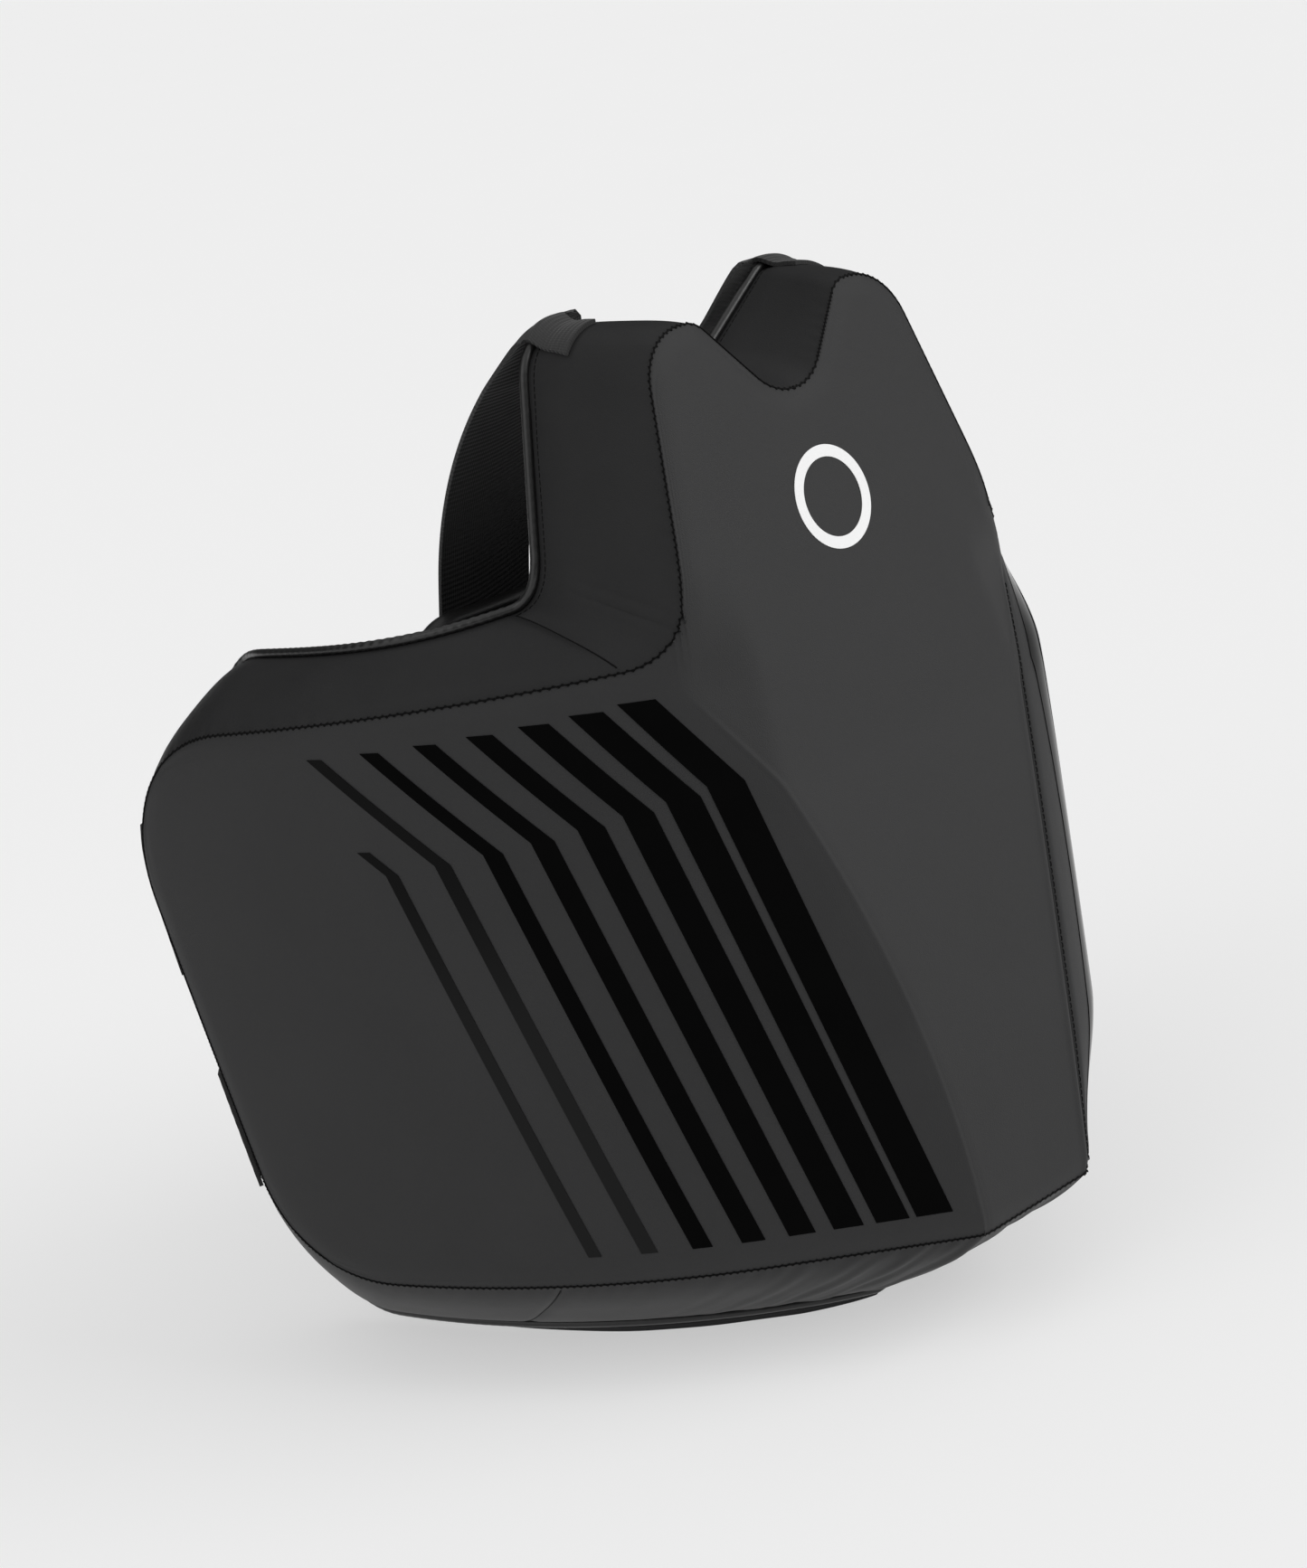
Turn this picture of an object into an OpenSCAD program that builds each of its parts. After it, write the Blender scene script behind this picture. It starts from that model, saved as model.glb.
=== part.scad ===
// Trainer's belly pad: a thick chest and belly protector with two wrap-round side wings,
// shoulder straps, a hanging back panel and four hook-and-loop waist straps.
// It stands upright on its flat lower edge. -Y is the front, +X is to the right as seen from the
// front, +Z is up, and z = 0 is the surface that it stands on.

/* [Chest] */
// Height of the tops of the two chest lobes
lobe_top = 602; // [574:1:634]
// Height of the lowest point of the neckline
neck_low = 552; // [524:1:564]
// Distance from the middle to the neck side of a lobe
lobe_in = 60; // [50:1:70]
// Distance from the middle to the arm side of a lobe
lobe_out = 101; // [95:1:115]
// Half width of the chest at the bottom of the armholes
arm_half = 139; // [130:1:150]
// Height of the bottom of the armholes
arm_z = 432; // [414:1:444]
// Backward lean of the chest above the belly
chest_lean = 13.9; // [8:0.1:18]

/* [Belly] */
// Height of the seam along the bottom of the front cover
hem_z = 71; // [44:1:84]
// Height of the seam along the bottom of the body side, above the free edge of the lining
body_hem = 11; // [9:0.5:16]
// Half width of the flat belly strip at the bottom
keel_half = 50; // [40:1:60]
// Half width of the flat belly strip at the bend in the crease
knee_half = 107; // [100:1:115]
// Height of the bend in the crease
knee_z = 354; // [334:1:374]
// How far the crease bows towards the middle below its bend
belly_bow = 10; // [0:1:15]

/* [Side wings] */
// Length of a wing along its outer face, from the bottom end of the crease
wing_len = 512; // [440:1:620]
// Height of the top seam at the rear end of a wing
wing_top = 400; // [384:1:409]
// Angle of the wing to the front at the crease
facet_angle = 44; // [40:0.5:48]
// Length of the flat stretch of a wing beside the crease
facet_len = 120; // [110:1:140]
// Angle of the wing to the front at its rear end
rear_angle = 90.5; // [80:0.5:100]
// How much shorter a wing is along the bottom than along the top
wing_slant = 80; // [60:1:90]
// Corner radius at the top rear of a wing
top_corner_r = 85; // [50:1:90]
// Corner radius at the bottom rear of a wing
bottom_corner_r = 80; // [50:1:90]

/* [Padding] */
// Thickness of the padding in the wings
pad_t = 82; // [68:1:98]
// Depth of the padding behind the bottom of the belly
belly_t = 100; // [85:1:115]
// Backward lean of the face against the body
body_lean = 9; // [6:0.1:12]
// How far the padding widens upwards from the front to the body along the wings
top_flare = 27; // [15:1:35]
// Thickness of the cover, the side walls and the lining
cover_t = 1; // [0.8:0.1:1.2]
// Gap between one layer and the next
layer_gap = 0.1; // [0.05:0.05:0.3]
// Diameter of the piping along the body side edge
piping_d = 6; // [4:0.5:8]
// Room between the piping and the edge that it follows
piping_gap = 0.3; // [0.2:0.1:0.5]

/* [Trim] */
// Number of gloss stripes on each wing
stripe_count = 8; // [4:1:8]
// Thickness of the gloss stripes and the chest mark
film_t = 0.3; // [0.2:0.1:0.6]
// Outer diameter of the plain ring on the chest
mark_d = 60; // [40:1:80]
// Width of the plain ring's line
mark_line = 7; // [4:1:12]
// Height of the centre of the ring along the chest
mark_z = 489; // [474:1:504]

/* [Back] */
// Width of the shoulder straps
shoulder_w = 72; // [40:1:76]
// Distance from the middle to the centre line of a shoulder strap
shoulder_x = 90; // [84:1:104]
// Radius of the outer face of a shoulder strap where it curves over the shoulder
shoulder_r = 223; // [215:1:232]
// Thickness of all straps
strap_t = 2.5; // [2:0.1:4]
// Backward lean of the back panel
back_lean = 12; // [8:0.5:14]
// Width of the back panel
panel_w = 304; // [260:1:312]
// Distance from the end of the shoulder curve down to the top edge of the back panel
panel_drop = 20; // [2:1:40]
// How far the back panel reaches below the lower waist straps
panel_below = 12; // [6:1:30]
// Thickness of the back panel
panel_t = 12; // [8:1:16]
// Corner radius of the back panel
panel_r = 28; // [15:1:40]
// Width of the binding round the back panel
binding_w = 4; // [3:0.5:6]
// Thickness of a hook patch or a loop patch
patch_t = 1; // [0.8:0.1:1.5]

/* [Waist straps] */
// Width of the upper waist straps
upper_w = 92; // [60:1:110]
// Height of the middle of the upper waist straps
upper_z = 302; // [284:1:314]
// Width of the lower waist straps
lower_w = 70; // [50:1:84]
// Height of the middle of the lower waist straps
lower_z = 160; // [149:1:174]
// Distance from the middle to the free end of a waist strap
strap_tip = 34; // [20:1:60]
// Length of the hook patch at the free end of a waist strap
hook_len = 78; // [50:1:90]

/* [Hidden] */

cover_color = [0.21, 0.21, 0.21];
side_color = [0.16, 0.16, 0.16];
piping_color = [0.12, 0.12, 0.12];
web_color = [0.05, 0.05, 0.05];
film_color = [0.02, 0.02, 0.02];

neck_flare = 11;         // rise of the neckline from the front to the body
lobe_rise = 2;           // rise of the lobe tops
lobe_in_flare = 21;      // outward shift of the neck side of a lobe
lobe_out_flare = 14;     // outward shift of the arm side of a lobe
arm_flare = 29;          // rise of the bottom of the armholes
arm_half_flare = 16;     // outward shift of the bottom of the armholes
rear_flare = -6;         // shift of the rear edge of a wing
body_keel = 35;          // half width of the flat strip against the belly
hem_rise = 7;            // rise of the body side seam towards the middle of the belly
hem_flat = [90, 205];    // stretch of the free edge, along the body side, that the pad stands on
corner_half = arm_half + 3;
corner_z = arm_z - 15;
facet_w = 45;            // width of the small facet above the bend in the crease
fade_h = 90;             // height over which that facet fades out
merge_h = 60;            // height over which the wing's body face runs into the chest's
neck_half = 16;          // half width of the flat bottom of the neckline
neck_r = 37;             // corner radii of the outline, from the neck to the armhole
lobe_in_r = 18;
lobe_out_r = 36;
arm_r = 42;
body_extra_r = 8;        // how much rounder a wing's corners are on the body side

// Columns of the grid: the crease is a column, and so is each change in the outline.
crease_col = 21;
last_col = 34;
rows = 10;
belly_rows = 6;
hem_cols = 10;           // columns along the hem behind the crease
rear_rows = 4;           // rows along the straight part of a wing's rear edge
small_steps = 3;         // steps round a corner of the neckline or a lobe
arm_steps = 4;           // steps round the bottom of an armhole
rear_steps = 6;          // steps round a wing's rear corner
neck_cols = 3;           // columns along the straight stretches of the top, from the neck out
lobe_cols = 1;
arm_cols = 5;
wing_cols = 8;
loop_len = 2 * (2 * last_col + rows);
arm_seam = 23;           // where the upper side wall meets a wing's side wall
hem_seam = 50;           // where a wing's side wall meets the bottom one

function ramp(t) = min(max(t, 0), 1);
function ease(t) = let (c = ramp(t)) c * c * (3 - 2 * c);
function mix(a, b, t) = a + (b - a) * t;
function unit(v) = v / norm(v);
function flat(v) = [v.x, v.y, 0];
function mirrored(p) = [-p.x, p.y, p.z];

// The wing's plan, measured from the front of the belly: a flat stretch, then an arc.
// d is the depth below the outer face.
arc_r = (wing_len - facet_len) / ((rear_angle - facet_angle) * PI / 180);
function heading(s) =
    facet_angle + (rear_angle - facet_angle) * max(s - facet_len, 0) / (wing_len - facet_len);
function wing_plan(s, d = 0) =
    let (h = heading(s), a = min(s, facet_len))
    [keel_half + a * cos(facet_angle) + arc_r * (sin(h) - sin(facet_angle)) - d * sin(h),
     a * sin(facet_angle) + arc_r * (cos(facet_angle) - cos(h)) + d * cos(h)];

// The origin is in the middle of the pad's depth, so the front of the belly lies at y = front.
hinge_clear = 3;         // room between the piping and a free waist strap
front = -(wing_plan(wing_len + rear_flare, pad_t).y + piping_d + hinge_clear + strap_t) / 2;
function wall(s, d = 0) = wing_plan(s, d) + [0, front];

// The crease and the flat front between the creases.
function crease_x(z) =
    let (t = ramp((z - hem_z) / (knee_z - hem_z)))
    z < knee_z ? mix(keel_half, knee_half, t) - belly_bow * 4 * t * (1 - t)
    : mix(knee_half, corner_half, ramp((z - knee_z) / (corner_z - knee_z)));
function crease_s(z) = (crease_x(z) - keel_half) / cos(facet_angle);
function front_y(z) =
    z <= knee_z ? front + (crease_x(z) - keel_half) * tan(facet_angle)
    : front_y(knee_z) + (z - knee_z) * tan(chest_lean);

// A point of the outer face. p runs outwards along the face from the middle, z is the height.
function outer(p, z) =
    let (c = crease_x(z), s0 = crease_s(z),
         s = s0 + (wing_len - s0) * (p - c) / (wing_len - c),
         q = wall(s),
         w = 1 + facet_w * ramp((z - knee_z) / (corner_z - knee_z)),
         step_back = (wall(s0).y - front_y(z)) * ramp((p - c + w) / w) * (1 - ease((z - corner_z) / fade_h)))
    p <= c ? [p, front_y(z) + step_back, z] : [q.x, q.y, z];

// A point of the face against the body.
function body_y(z) = front + belly_t + z * tan(body_lean);
function body_crease(z) = (body_y(z) - front - pad_t * cos(facet_angle)) / sin(facet_angle);
function body(p, z) =
    let (s0 = body_crease(z), c = wall(s0, pad_t).x,
         s = s0 + (wing_len - s0) * (p - c) / (wing_len - c),
         q = wall(s, pad_t),
         up = ease((z - wing_top - top_flare) / merge_h))
    p <= c ? [p, body_y(z), z] : [mix(q.x, p, up), mix(q.y, body_y(z), up), z];

// Points round a corner at v, from the side towards a to the side towards b. The radius is r, or
// less where the fillet would take more than its share of either side.
function corner(a, v, b, r, n, share_a = 0.5, share_b = 0.5) =
    let (da = unit(a - v), db = unit(b - v), half = acos(da * db) / 2,
         t = min(r / tan(half), share_a * norm(a - v), share_b * norm(b - v)), fit = t * tan(half),
         p0 = v + da * t, p1 = v + db * t, c = v + unit(da + db) * fit / sin(half),
         a0 = atan2(p0.y - c.y, p0.x - c.x), a1 = atan2(p1.y - c.y, p1.x - c.x),
         sweep = ((a1 - a0 + 540) % 360) - 180)
    [for (i = [0:n]) c + fit * [cos(a0 + sweep * i / n), sin(a0 + sweep * i / n)]];
function along(a, b, n) = [for (i = [0:n - 1]) mix(a, b, i / n)];
function part(list, first, last) = [for (i = [first:last]) list[i]];

// The four edges of half the pad, unrolled: [bottom, right, top], each a list of [p, z].
function edges(neck, lobe, lobe_a, lobe_b, arm_p, arm_h, rear, top, slant, hem, keel, extra_r) =
    let (v = [[0, neck], [neck_half, neck], [lobe_a, lobe], [lobe_b, lobe], [arm_p, arm_h],
              [rear, top], [rear - slant, hem], [0, hem]],
         n = small_steps, m = rear_steps, h = rear_steps / 2,
         k1 = corner(v[0], v[1], v[2], neck_r, n, 0.96, 0.6),
         k2 = corner(v[1], v[2], v[3], lobe_in_r, n, 0.3, 0.25),
         k3 = corner(v[2], v[3], v[4], lobe_out_r, n, 0.72, 0.3),
         k4 = corner(v[3], v[4], v[5], arm_r, arm_steps),
         k5 = corner(v[4], v[5], v[6], top_corner_r + extra_r, m),
         k6 = corner(v[5], v[6], v[7], bottom_corner_r + extra_r, m))
    [concat(along([0, hem], [keel, hem], crease_col), along([keel, hem], k6[m], hem_cols),
            [for (i = [m:-1:h]) k6[i]]),
     concat([for (i = [h:-1:1]) k6[i]], along(k6[0], k5[m], rear_rows), [for (i = [m:-1:h]) k5[i]]),
     concat([v[0]], part(k1, 0, n - 1), along(k1[n], k2[0], neck_cols), part(k2, 0, n - 1),
            along(k2[n], k3[0], lobe_cols), part(k3, 0, n - 1), along(k3[n], k4[0], arm_cols),
            part(k4, 0, arm_steps - 1), along(k4[arm_steps], k5[0], wing_cols), part(k5, 0, h))];

outer_edges = edges(neck_low, lobe_top, lobe_in, lobe_out, arm_half, arm_z,
    wing_len, wing_top, wing_slant, hem_z, keel_half, 0);
level_edges = edges(neck_low + neck_flare, lobe_top + lobe_rise, lobe_in + lobe_in_flare,
    lobe_out + lobe_out_flare, arm_half + arm_half_flare, arm_z + arm_flare,
    wing_len + rear_flare, wing_top + top_flare, 0, body_hem, body_keel, body_extra_r);
body_edges = [[for (q = level_edges[0]) q + [0, hem_rise * pow(ramp(1 - q.x / hem_flat[0]), 2)]],
    level_edges[1], level_edges[2]];

// A grid of [p, z] filled in between the edges, with one column along the crease.
function fill(e, crease) =
    [for (j = [0:rows]) [for (i = [0:last_col])
        let (t = j / rows, s = ramp((i - crease_col) / (last_col - crease_col)),
             b = e[0][i], u = e[2][i], r = e[1][j], r0 = e[1][0], r1 = e[1][rows],
             q = mix(b, u, t) + s * (r - mix(r0, r1, t)),
             mid = mix(e[0][crease_col], e[2][crease_col], t),
             w = i <= crease_col ? i / crease_col : (last_col - i) / (last_col - crease_col),
             shift = crease && j > 0 && j < rows ? crease_x(q.y) - mid.x : 0)
        [q.x + w * shift, q.y]]];

function both(g) = [for (row = g) concat([for (i = [last_col:-1:1]) mirrored(row[i])], row)];
outer_grid = both([for (row = fill(outer_edges, true)) [for (q = row) outer(q.x, q.y)]]);
body_grid = both([for (row = fill(body_edges, false)) [for (q = row) body(q.x, q.y)]]);

// The whole grid at a fraction f of the way through the pad, with its rim drawn in by e.
function layer(f, e = 0) =
    let (g = [for (j = [0:rows]) [for (i = [0:2 * last_col]) mix(outer_grid[j][i], body_grid[j][i], f)]])
    e == 0 ? g : [for (j = [0:rows]) [for (i = [0:2 * last_col])
        let (jn = j == 0 ? 1 : j == rows ? rows - 1 : j,
             n = i == 0 ? 1 : i == 2 * last_col ? 2 * last_col - 1 : i)
        jn == j && n == i ? g[j][i] : g[j][i] + e * unit(g[jn][n] - g[j][i])]];
function cut(g, j0, j1, i0, i1) = [for (j = [j0:j1]) [for (i = [i0:i1]) g[j][i]]];

skin = cover_t / pad_t;
foam_in = (cover_t + layer_gap) / pad_t;

// Step m round the rim: 0 is the middle of the neckline, and it runs out over the right lobe.
// With inset = 1 it is the grid's next point inwards.
function rim(g, m, inset = 0) =
    let (q = (m + loop_len) % loop_len, half = loop_len / 2, k = q <= half ? q : loop_len - q,
         i = k <= last_col ? k : k <= last_col + rows ? last_col : half - k,
         j = k <= last_col ? rows : k <= last_col + rows ? rows + last_col - k : 0,
         p = g[j == 0 ? inset : j == rows ? rows - inset : j][last_col + (i == last_col ? i - inset : i)])
    q <= half ? p : mirrored(p);

// A closed solid between two grids of points, a on its front and b behind. Each cell is two
// triangles. They run the same way on the rim as on a side wall, and the columns of the pad's
// left half, given as turned = [first, past the last], mirror those of its right half. The lower
// rim of a piece that lies on top of another runs as that piece's upper rim does.
module slab(a, b, turned = [0, 0], on_top = false) {
    nr = len(a);
    nc = len(a[0]);
    n = nr * nc;
    t = nr - 1;
    e = nc - 1;
    function id(k, r, c) = k * n + r * nc + c;
    function cell(p, q, u, v, turn) = turn ? [[p, q, v], [q, u, v]] : [[p, u, v], [p, q, u]];
    function turns(c) = c >= turned[0] && c < turned[1];
    near = [for (r = [0:t - 1]) for (c = [0:e - 1])
        each cell(id(0, r, c), id(0, r + 1, c), id(0, r + 1, c + 1), id(0, r, c + 1), turns(c))];
    far = [for (r = [0:t - 1]) for (c = [0:e - 1])
        each cell(id(1, r, c), id(1, r, c + 1), id(1, r + 1, c + 1), id(1, r + 1, c), turns(c))];
    low = [for (c = [0:e - 1])
        each cell(id(0, 0, c), id(0, 0, c + 1), id(1, 0, c + 1), id(1, 0, c), turns(c) == on_top)];
    high = [for (c = [0:e - 1])
        each cell(id(0, t, c + 1), id(0, t, c), id(1, t, c), id(1, t, c + 1), !turns(c))];
    first = [for (r = [0:t - 1])
        each cell(id(0, r + 1, 0), id(0, r, 0), id(1, r, 0), id(1, r + 1, 0), false)];
    last = [for (r = [0:t - 1])
        each cell(id(0, r, e), id(0, r + 1, e), id(1, r + 1, e), id(1, r, e), true)];
    polyhedron([for (g = [a, b]) for (row = g) each row], concat(near, far, low, high, first, last));
}

// The foam between columns i0 and i1 and rows j0 and j1.
module foam(j0, j1, i0, i1) {
    color([0.3, 0.3, 0.32]) slab(
        cut(layer(foam_in, cover_t + layer_gap), j0, j1, last_col + i0, last_col + i1),
        cut(layer(1 - foam_in, cover_t + layer_gap), j0, j1, last_col + i0, last_col + i1),
        [0, max(-i0, 0)], j0 > 0);
}

// A side wall along the rim from step m0 to step m1. The steps of the left half are negative, or
// past the middle of the bottom.
module side_wall(m0, m1) {
    outside = [for (f = [foam_in, 1 - foam_in]) let (g = layer(f)) [for (m = [m0:m1]) rim(g, m)]];
    inside = [for (f = [foam_in, 1 - foam_in]) let (g = layer(f, cover_t)) [for (m = [m0:m1]) rim(g, m)]];
    color(side_color) slab(outside, inside, m0 < 0 ? [0, -m0] : [loop_len / 2 - m0, m1 - m0]);
}

// Directions at step m of the body side rim: along the rim, into the body face, and out of it
// towards the wearer.
function rim_along(m) = unit(rim(body_grid, m + 1) - rim(body_grid, m - 1));
function rim_in(m) =
    let (t = rim_along(m), v = rim(body_grid, m, 1) - rim(body_grid, m)) unit(v - (v * t) * t);
function rim_back(m) = cross(rim_along(m), rim_in(m));

// A round cord along the body side of the rim from step m0 to step m1, in the corner between the
// side wall and the lining.
module piping(m0, m1) {
    r = piping_d / 2;
    sides = 8;
    n = m1 - m0 + 1;
    rings = [for (m = [m0:m1])
        let (b = rim(body_grid, m), t = rim_along(m), w = unit(rim(outer_grid, m) - b) + rim_in(m),
             u = unit((w * t) * t - w), v = cross(t, u), c = b + (r + piping_gap) * u)
        [for (i = [0:sides - 1]) c + r * (cos(360 * i / sides) * u + sin(360 * i / sides) * v)]];
    walls = [for (k = [0:n - 2]) for (i = [0:sides - 1])
        let (a = k * sides + i, b = k * sides + (i + 1) % sides)
        each [[a, b + sides, b], [a, a + sides, b + sides]]];
    ends = concat([for (i = [1:sides - 2]) [0, i, i + 1]],
        [for (i = [1:sides - 2]) let (s = (n - 1) * sides) [s, s + i + 1, s + i]]);
    color(piping_color) polyhedron([for (ring = rings) each ring], concat(walls, ends));
}

// The free lower border of the lining. It is sewn on behind the lining, passes behind the piping
// and hangs below it, and its edge is level where the pad stands on it.
hem_t = 1.2;             // thickness of the border
hem_sewn = 14;           // height of the sewn part above the seam
hem_back = 5.4;          // distance of the free part behind the lining
hem_gap = 1.2;           // room between the sewn part and the lining
hem_end = 46;            // step of the rim where the border ends
module lining_hem() {
    m0 = hem_end;
    m1 = loop_len - hem_end;
    function step_p(m) = body_edges[0][abs(loop_len / 2 - m)].x;
    end_p = step_p(m0);
    function low(m) =
        let (p = step_p(m), rise = max(1 - p / hem_flat[0], (p - hem_flat[1]) / (end_p - hem_flat[1]), 0))
        pow(rise, 1.5) * (rim(body_grid, m).z - 1);
    // [height above the seam, distance behind the lining] from the edge up
    function line(m, lift) =
        let (b = rim(body_grid, m), up = rim_in(m), drop = b.z - low(m))
        [for (q = [[-drop, hem_back], [-min(2, drop / 2), hem_back], [hem_sewn / 2, hem_gap], [hem_sewn, hem_gap]])
            let (c = b + up * q[0] / up.z + rim_back(m) * (q[1] + lift)) [c.x, c.y, b.z + q[0]]];
    function sheet(lift) = let (lines = [for (m = [m1:-1:m0]) line(m, lift)])
        [for (r = [0:3]) [for (l = lines) l[r]]];
    color(web_color) slab(sheet(0), sheet(hem_t));
}

// Gloss stripes, measured along the outer face from the bottom end of the crease. Each runs back
// up to its bend and then leans further back, with its ends cut level.
stripe_first = 18;       // front edge of the first stripe at the bottom
stripe_pitch = 25;       // spacing of the first two, growing by stripe_grow each time
stripe_grow = 1.3;
stripe_wide = 21;        // width of the first stripe, each next one narrower by stripe_taper
stripe_taper = 1.9;
stripe_shift = 82;       // how far a stripe moves back up to its bend
stripe_margin = 19;      // distance from the seams at the bottom and the top
bend_z = 361;            // height of the first stripe's bend, each next one lower by bend_drop
bend_drop = 5;
leg_lean = 0.8;          // backward lean of the first upper leg, growing by lean_grow each time
lean_grow = 0.045;
full_stripes = 7;        // stripes whose upper leg runs up to the top seam
end_drop = 3;            // drop of each following end at the top
short_leg = 14;          // height of the upper leg of the others
stripe_steps = 4;
film_gap = 0.4;          // room between a stripe and the faceted cover
function stripe_at(k) = stripe_first + k * stripe_pitch + stripe_grow * k * (k - 1) / 2;
function stripe_w(k) = stripe_wide - stripe_taper * k;
function stripe_bend(k) = bend_z - bend_drop * k;
function stripe_end(k) = k < full_stripes ? arm_z - stripe_margin - end_drop * k : stripe_bend(k) + short_leg;
module stripe(k) {
    bend = stripe_bend(k);
    low = along([0, hem_z + stripe_margin], [stripe_shift, bend], stripe_steps);
    high = [for (i = [0:stripe_steps])
        let (z = mix(bend, stripe_end(k), i / stripe_steps))
        [stripe_shift + (z - bend) * (leg_lean + lean_grow * k), z]];
    line = concat(low, high);
    function film(d) = [for (q = line) [for (i = [0:1])
        let (w = wall(stripe_at(k) + q.x + i * stripe_w(k), d)) [w.x, w.y, q.y]]];
    slab(film(-film_t - film_gap), film(-film_gap));
}
module stripes() { color(film_color) for (k = [0:stripe_count - 1]) stripe(k); }

// The back: a frame at the centre of the shoulder curve, with +Y out of the panel's rear face.
// The curve starts behind the piping of the lobe, and the panel ends below the lower waist strap.
start_angle = 52;        // where the strap leaves the lobe, above the level of the curve's centre
swing_clear = 7;         // room between the piping and the upper end of a shoulder strap
start_drop = 16;         // how far that end lies below the top of the lobe
strap_clear = 18;        // distance from the sewn end of a shoulder strap to the upper waist strap
loop_margin = 8;         // margin of the loop field on the panel
loop_r = 12;             // corner radius of the loop field
inner_r = shoulder_r - strap_t;
panel_rear = inner_r - layer_gap;
curve_y = body_y(lobe_top) + piping_d + swing_clear - inner_r * cos(start_angle);
curve_z = lobe_top + lobe_rise - start_drop - inner_r * sin(start_angle);
function down_at(z, depth) = (curve_z + depth * sin(back_lean) - z) / cos(back_lean);
function on_back_pt(x, depth, down) =
    [x, curve_y + depth * cos(back_lean) + down * sin(back_lean),
     curve_z + depth * sin(back_lean) - down * cos(back_lean)];
module on_back() { translate([0, curve_y, curve_z]) rotate([back_lean, 0, 0]) children(); }
panel_h = down_at(lower_z - lower_w / 2 - panel_below, panel_rear) - panel_drop;
strap_end = down_at(upper_z + upper_w / 2 + strap_clear, panel_rear);

module rounded(w, h, r) {
    translate([-w / 2, -h + r]) square([w, h - 2 * r]);
    translate([-w / 2 + r, -h]) square([w - 2 * r, h]);
    for (x = [-1, 1], y = [-r, -h + r]) translate([x * (w / 2 - r), y]) circle(r = r, $fn = 48);
}
// A plate in the back's frame: its front face is at depth y, its top edge at height z.
module plate(y, t, z) { translate([0, y + t, z]) rotate([90, 0, 0]) linear_extrude(t) children(); }

module shoulder_strap_right() {
    sweep = start_angle - back_lean;
    steps = 16;
    arc = [for (i = [0:steps]) sweep * (1 - i / steps)];
    profile = concat(
        [for (a = arc) shoulder_r * [cos(a), sin(a)]], [[shoulder_r, -strap_end], [inner_r, -strap_end]],
        [for (i = [steps:-1:0]) inner_r * [cos(arc[i]), sin(arc[i])]]);
    color(web_color) on_back() translate([shoulder_x - shoulder_w / 2, 0, 0])
        rotate([90, 0, 90]) linear_extrude(shoulder_w) polygon(profile);
}
tab_front = 30;          // distance of the tab on a lobe from the lobe's front edge
tab_rear = 4;            // and from its rear edge
module shoulder_tab_right() {
    y0 = front_y(lobe_top) + tab_front;
    y1 = body_y(lobe_top) - tab_rear;
    z = lobe_top + lobe_rise + layer_gap;
    w = lobe_out + lobe_out_flare - lobe_in - lobe_in_flare;
    color(web_color) translate([lobe_in + lobe_in_flare, y0, z]) cube([w, y1 - y0, strap_t]);
}
module back_pad() {
    color(side_color) on_back() plate(panel_rear - panel_t, panel_t, -panel_drop)
        rounded(panel_w, panel_h, panel_r);
}
module back_lining() {
    color(web_color) on_back() plate(panel_rear - panel_t - layer_gap - patch_t, patch_t, -panel_drop)
        rounded(panel_w, panel_h, panel_r);
}
module back_binding() {
    depth = panel_t + layer_gap + patch_t;
    color(piping_color) on_back() plate(panel_rear - depth, depth, binding_w - panel_drop)
        difference() {
            rounded(panel_w + 2 * binding_w, panel_h + 2 * binding_w, panel_r + binding_w);
            translate([0, -binding_w + layer_gap])
                rounded(panel_w + 2 * layer_gap, panel_h + 2 * layer_gap, panel_r + layer_gap);
        }
}
// The loop field lies below the sewn ends of the shoulder straps.
loop_top = strap_end + strap_clear / 3;
module loop_panel() {
    color(web_color) on_back() plate(panel_rear + layer_gap, patch_t, -loop_top)
        rounded(panel_w - 2 * loop_margin, panel_drop + panel_h - loop_margin - loop_top, loop_r);
}

// Waist straps. A strap's base is sewn over the rear side wall, and its free end swings on the
// inner rear edge of the wing. The band from z - w / 2 to z + w / 2 is one strap.
base_lift = 3.5;         // room between a strap's base and the faceted side wall
base_end = 0.92;         // fraction of the side wall's depth where a base ends, short of the piping
function rear_edge(t) = [for (j = [0:rows]) mix(outer_grid[j][2 * last_col], body_grid[j][2 * last_col], t)];
function rim_at(t, z) =
    let (pts = rear_edge(t)) [lookup(z, [for (p = pts) [p.z, p.x]]), lookup(z, [for (p = pts) [p.z, p.y]]), z];
function base_line(z, lift) =
    [for (t = [0.03 : (base_end - 0.03) / 4 : base_end + 0.01])
        let (up = rim_at(t, z + 5) - rim_at(t, z - 5)) rim_at(t, z) + unit(cross(rim_at(1, z) - rim_at(0, z), up)) * lift];
module strap_base(z, w) {
    levels = [for (i = [0:4]) z + w * (i / 4 - 0.5)];
    color(web_color) slab([for (h = levels) base_line(h, base_lift + strap_t)],
        [for (h = levels) base_line(h, base_lift)]);
}
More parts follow.
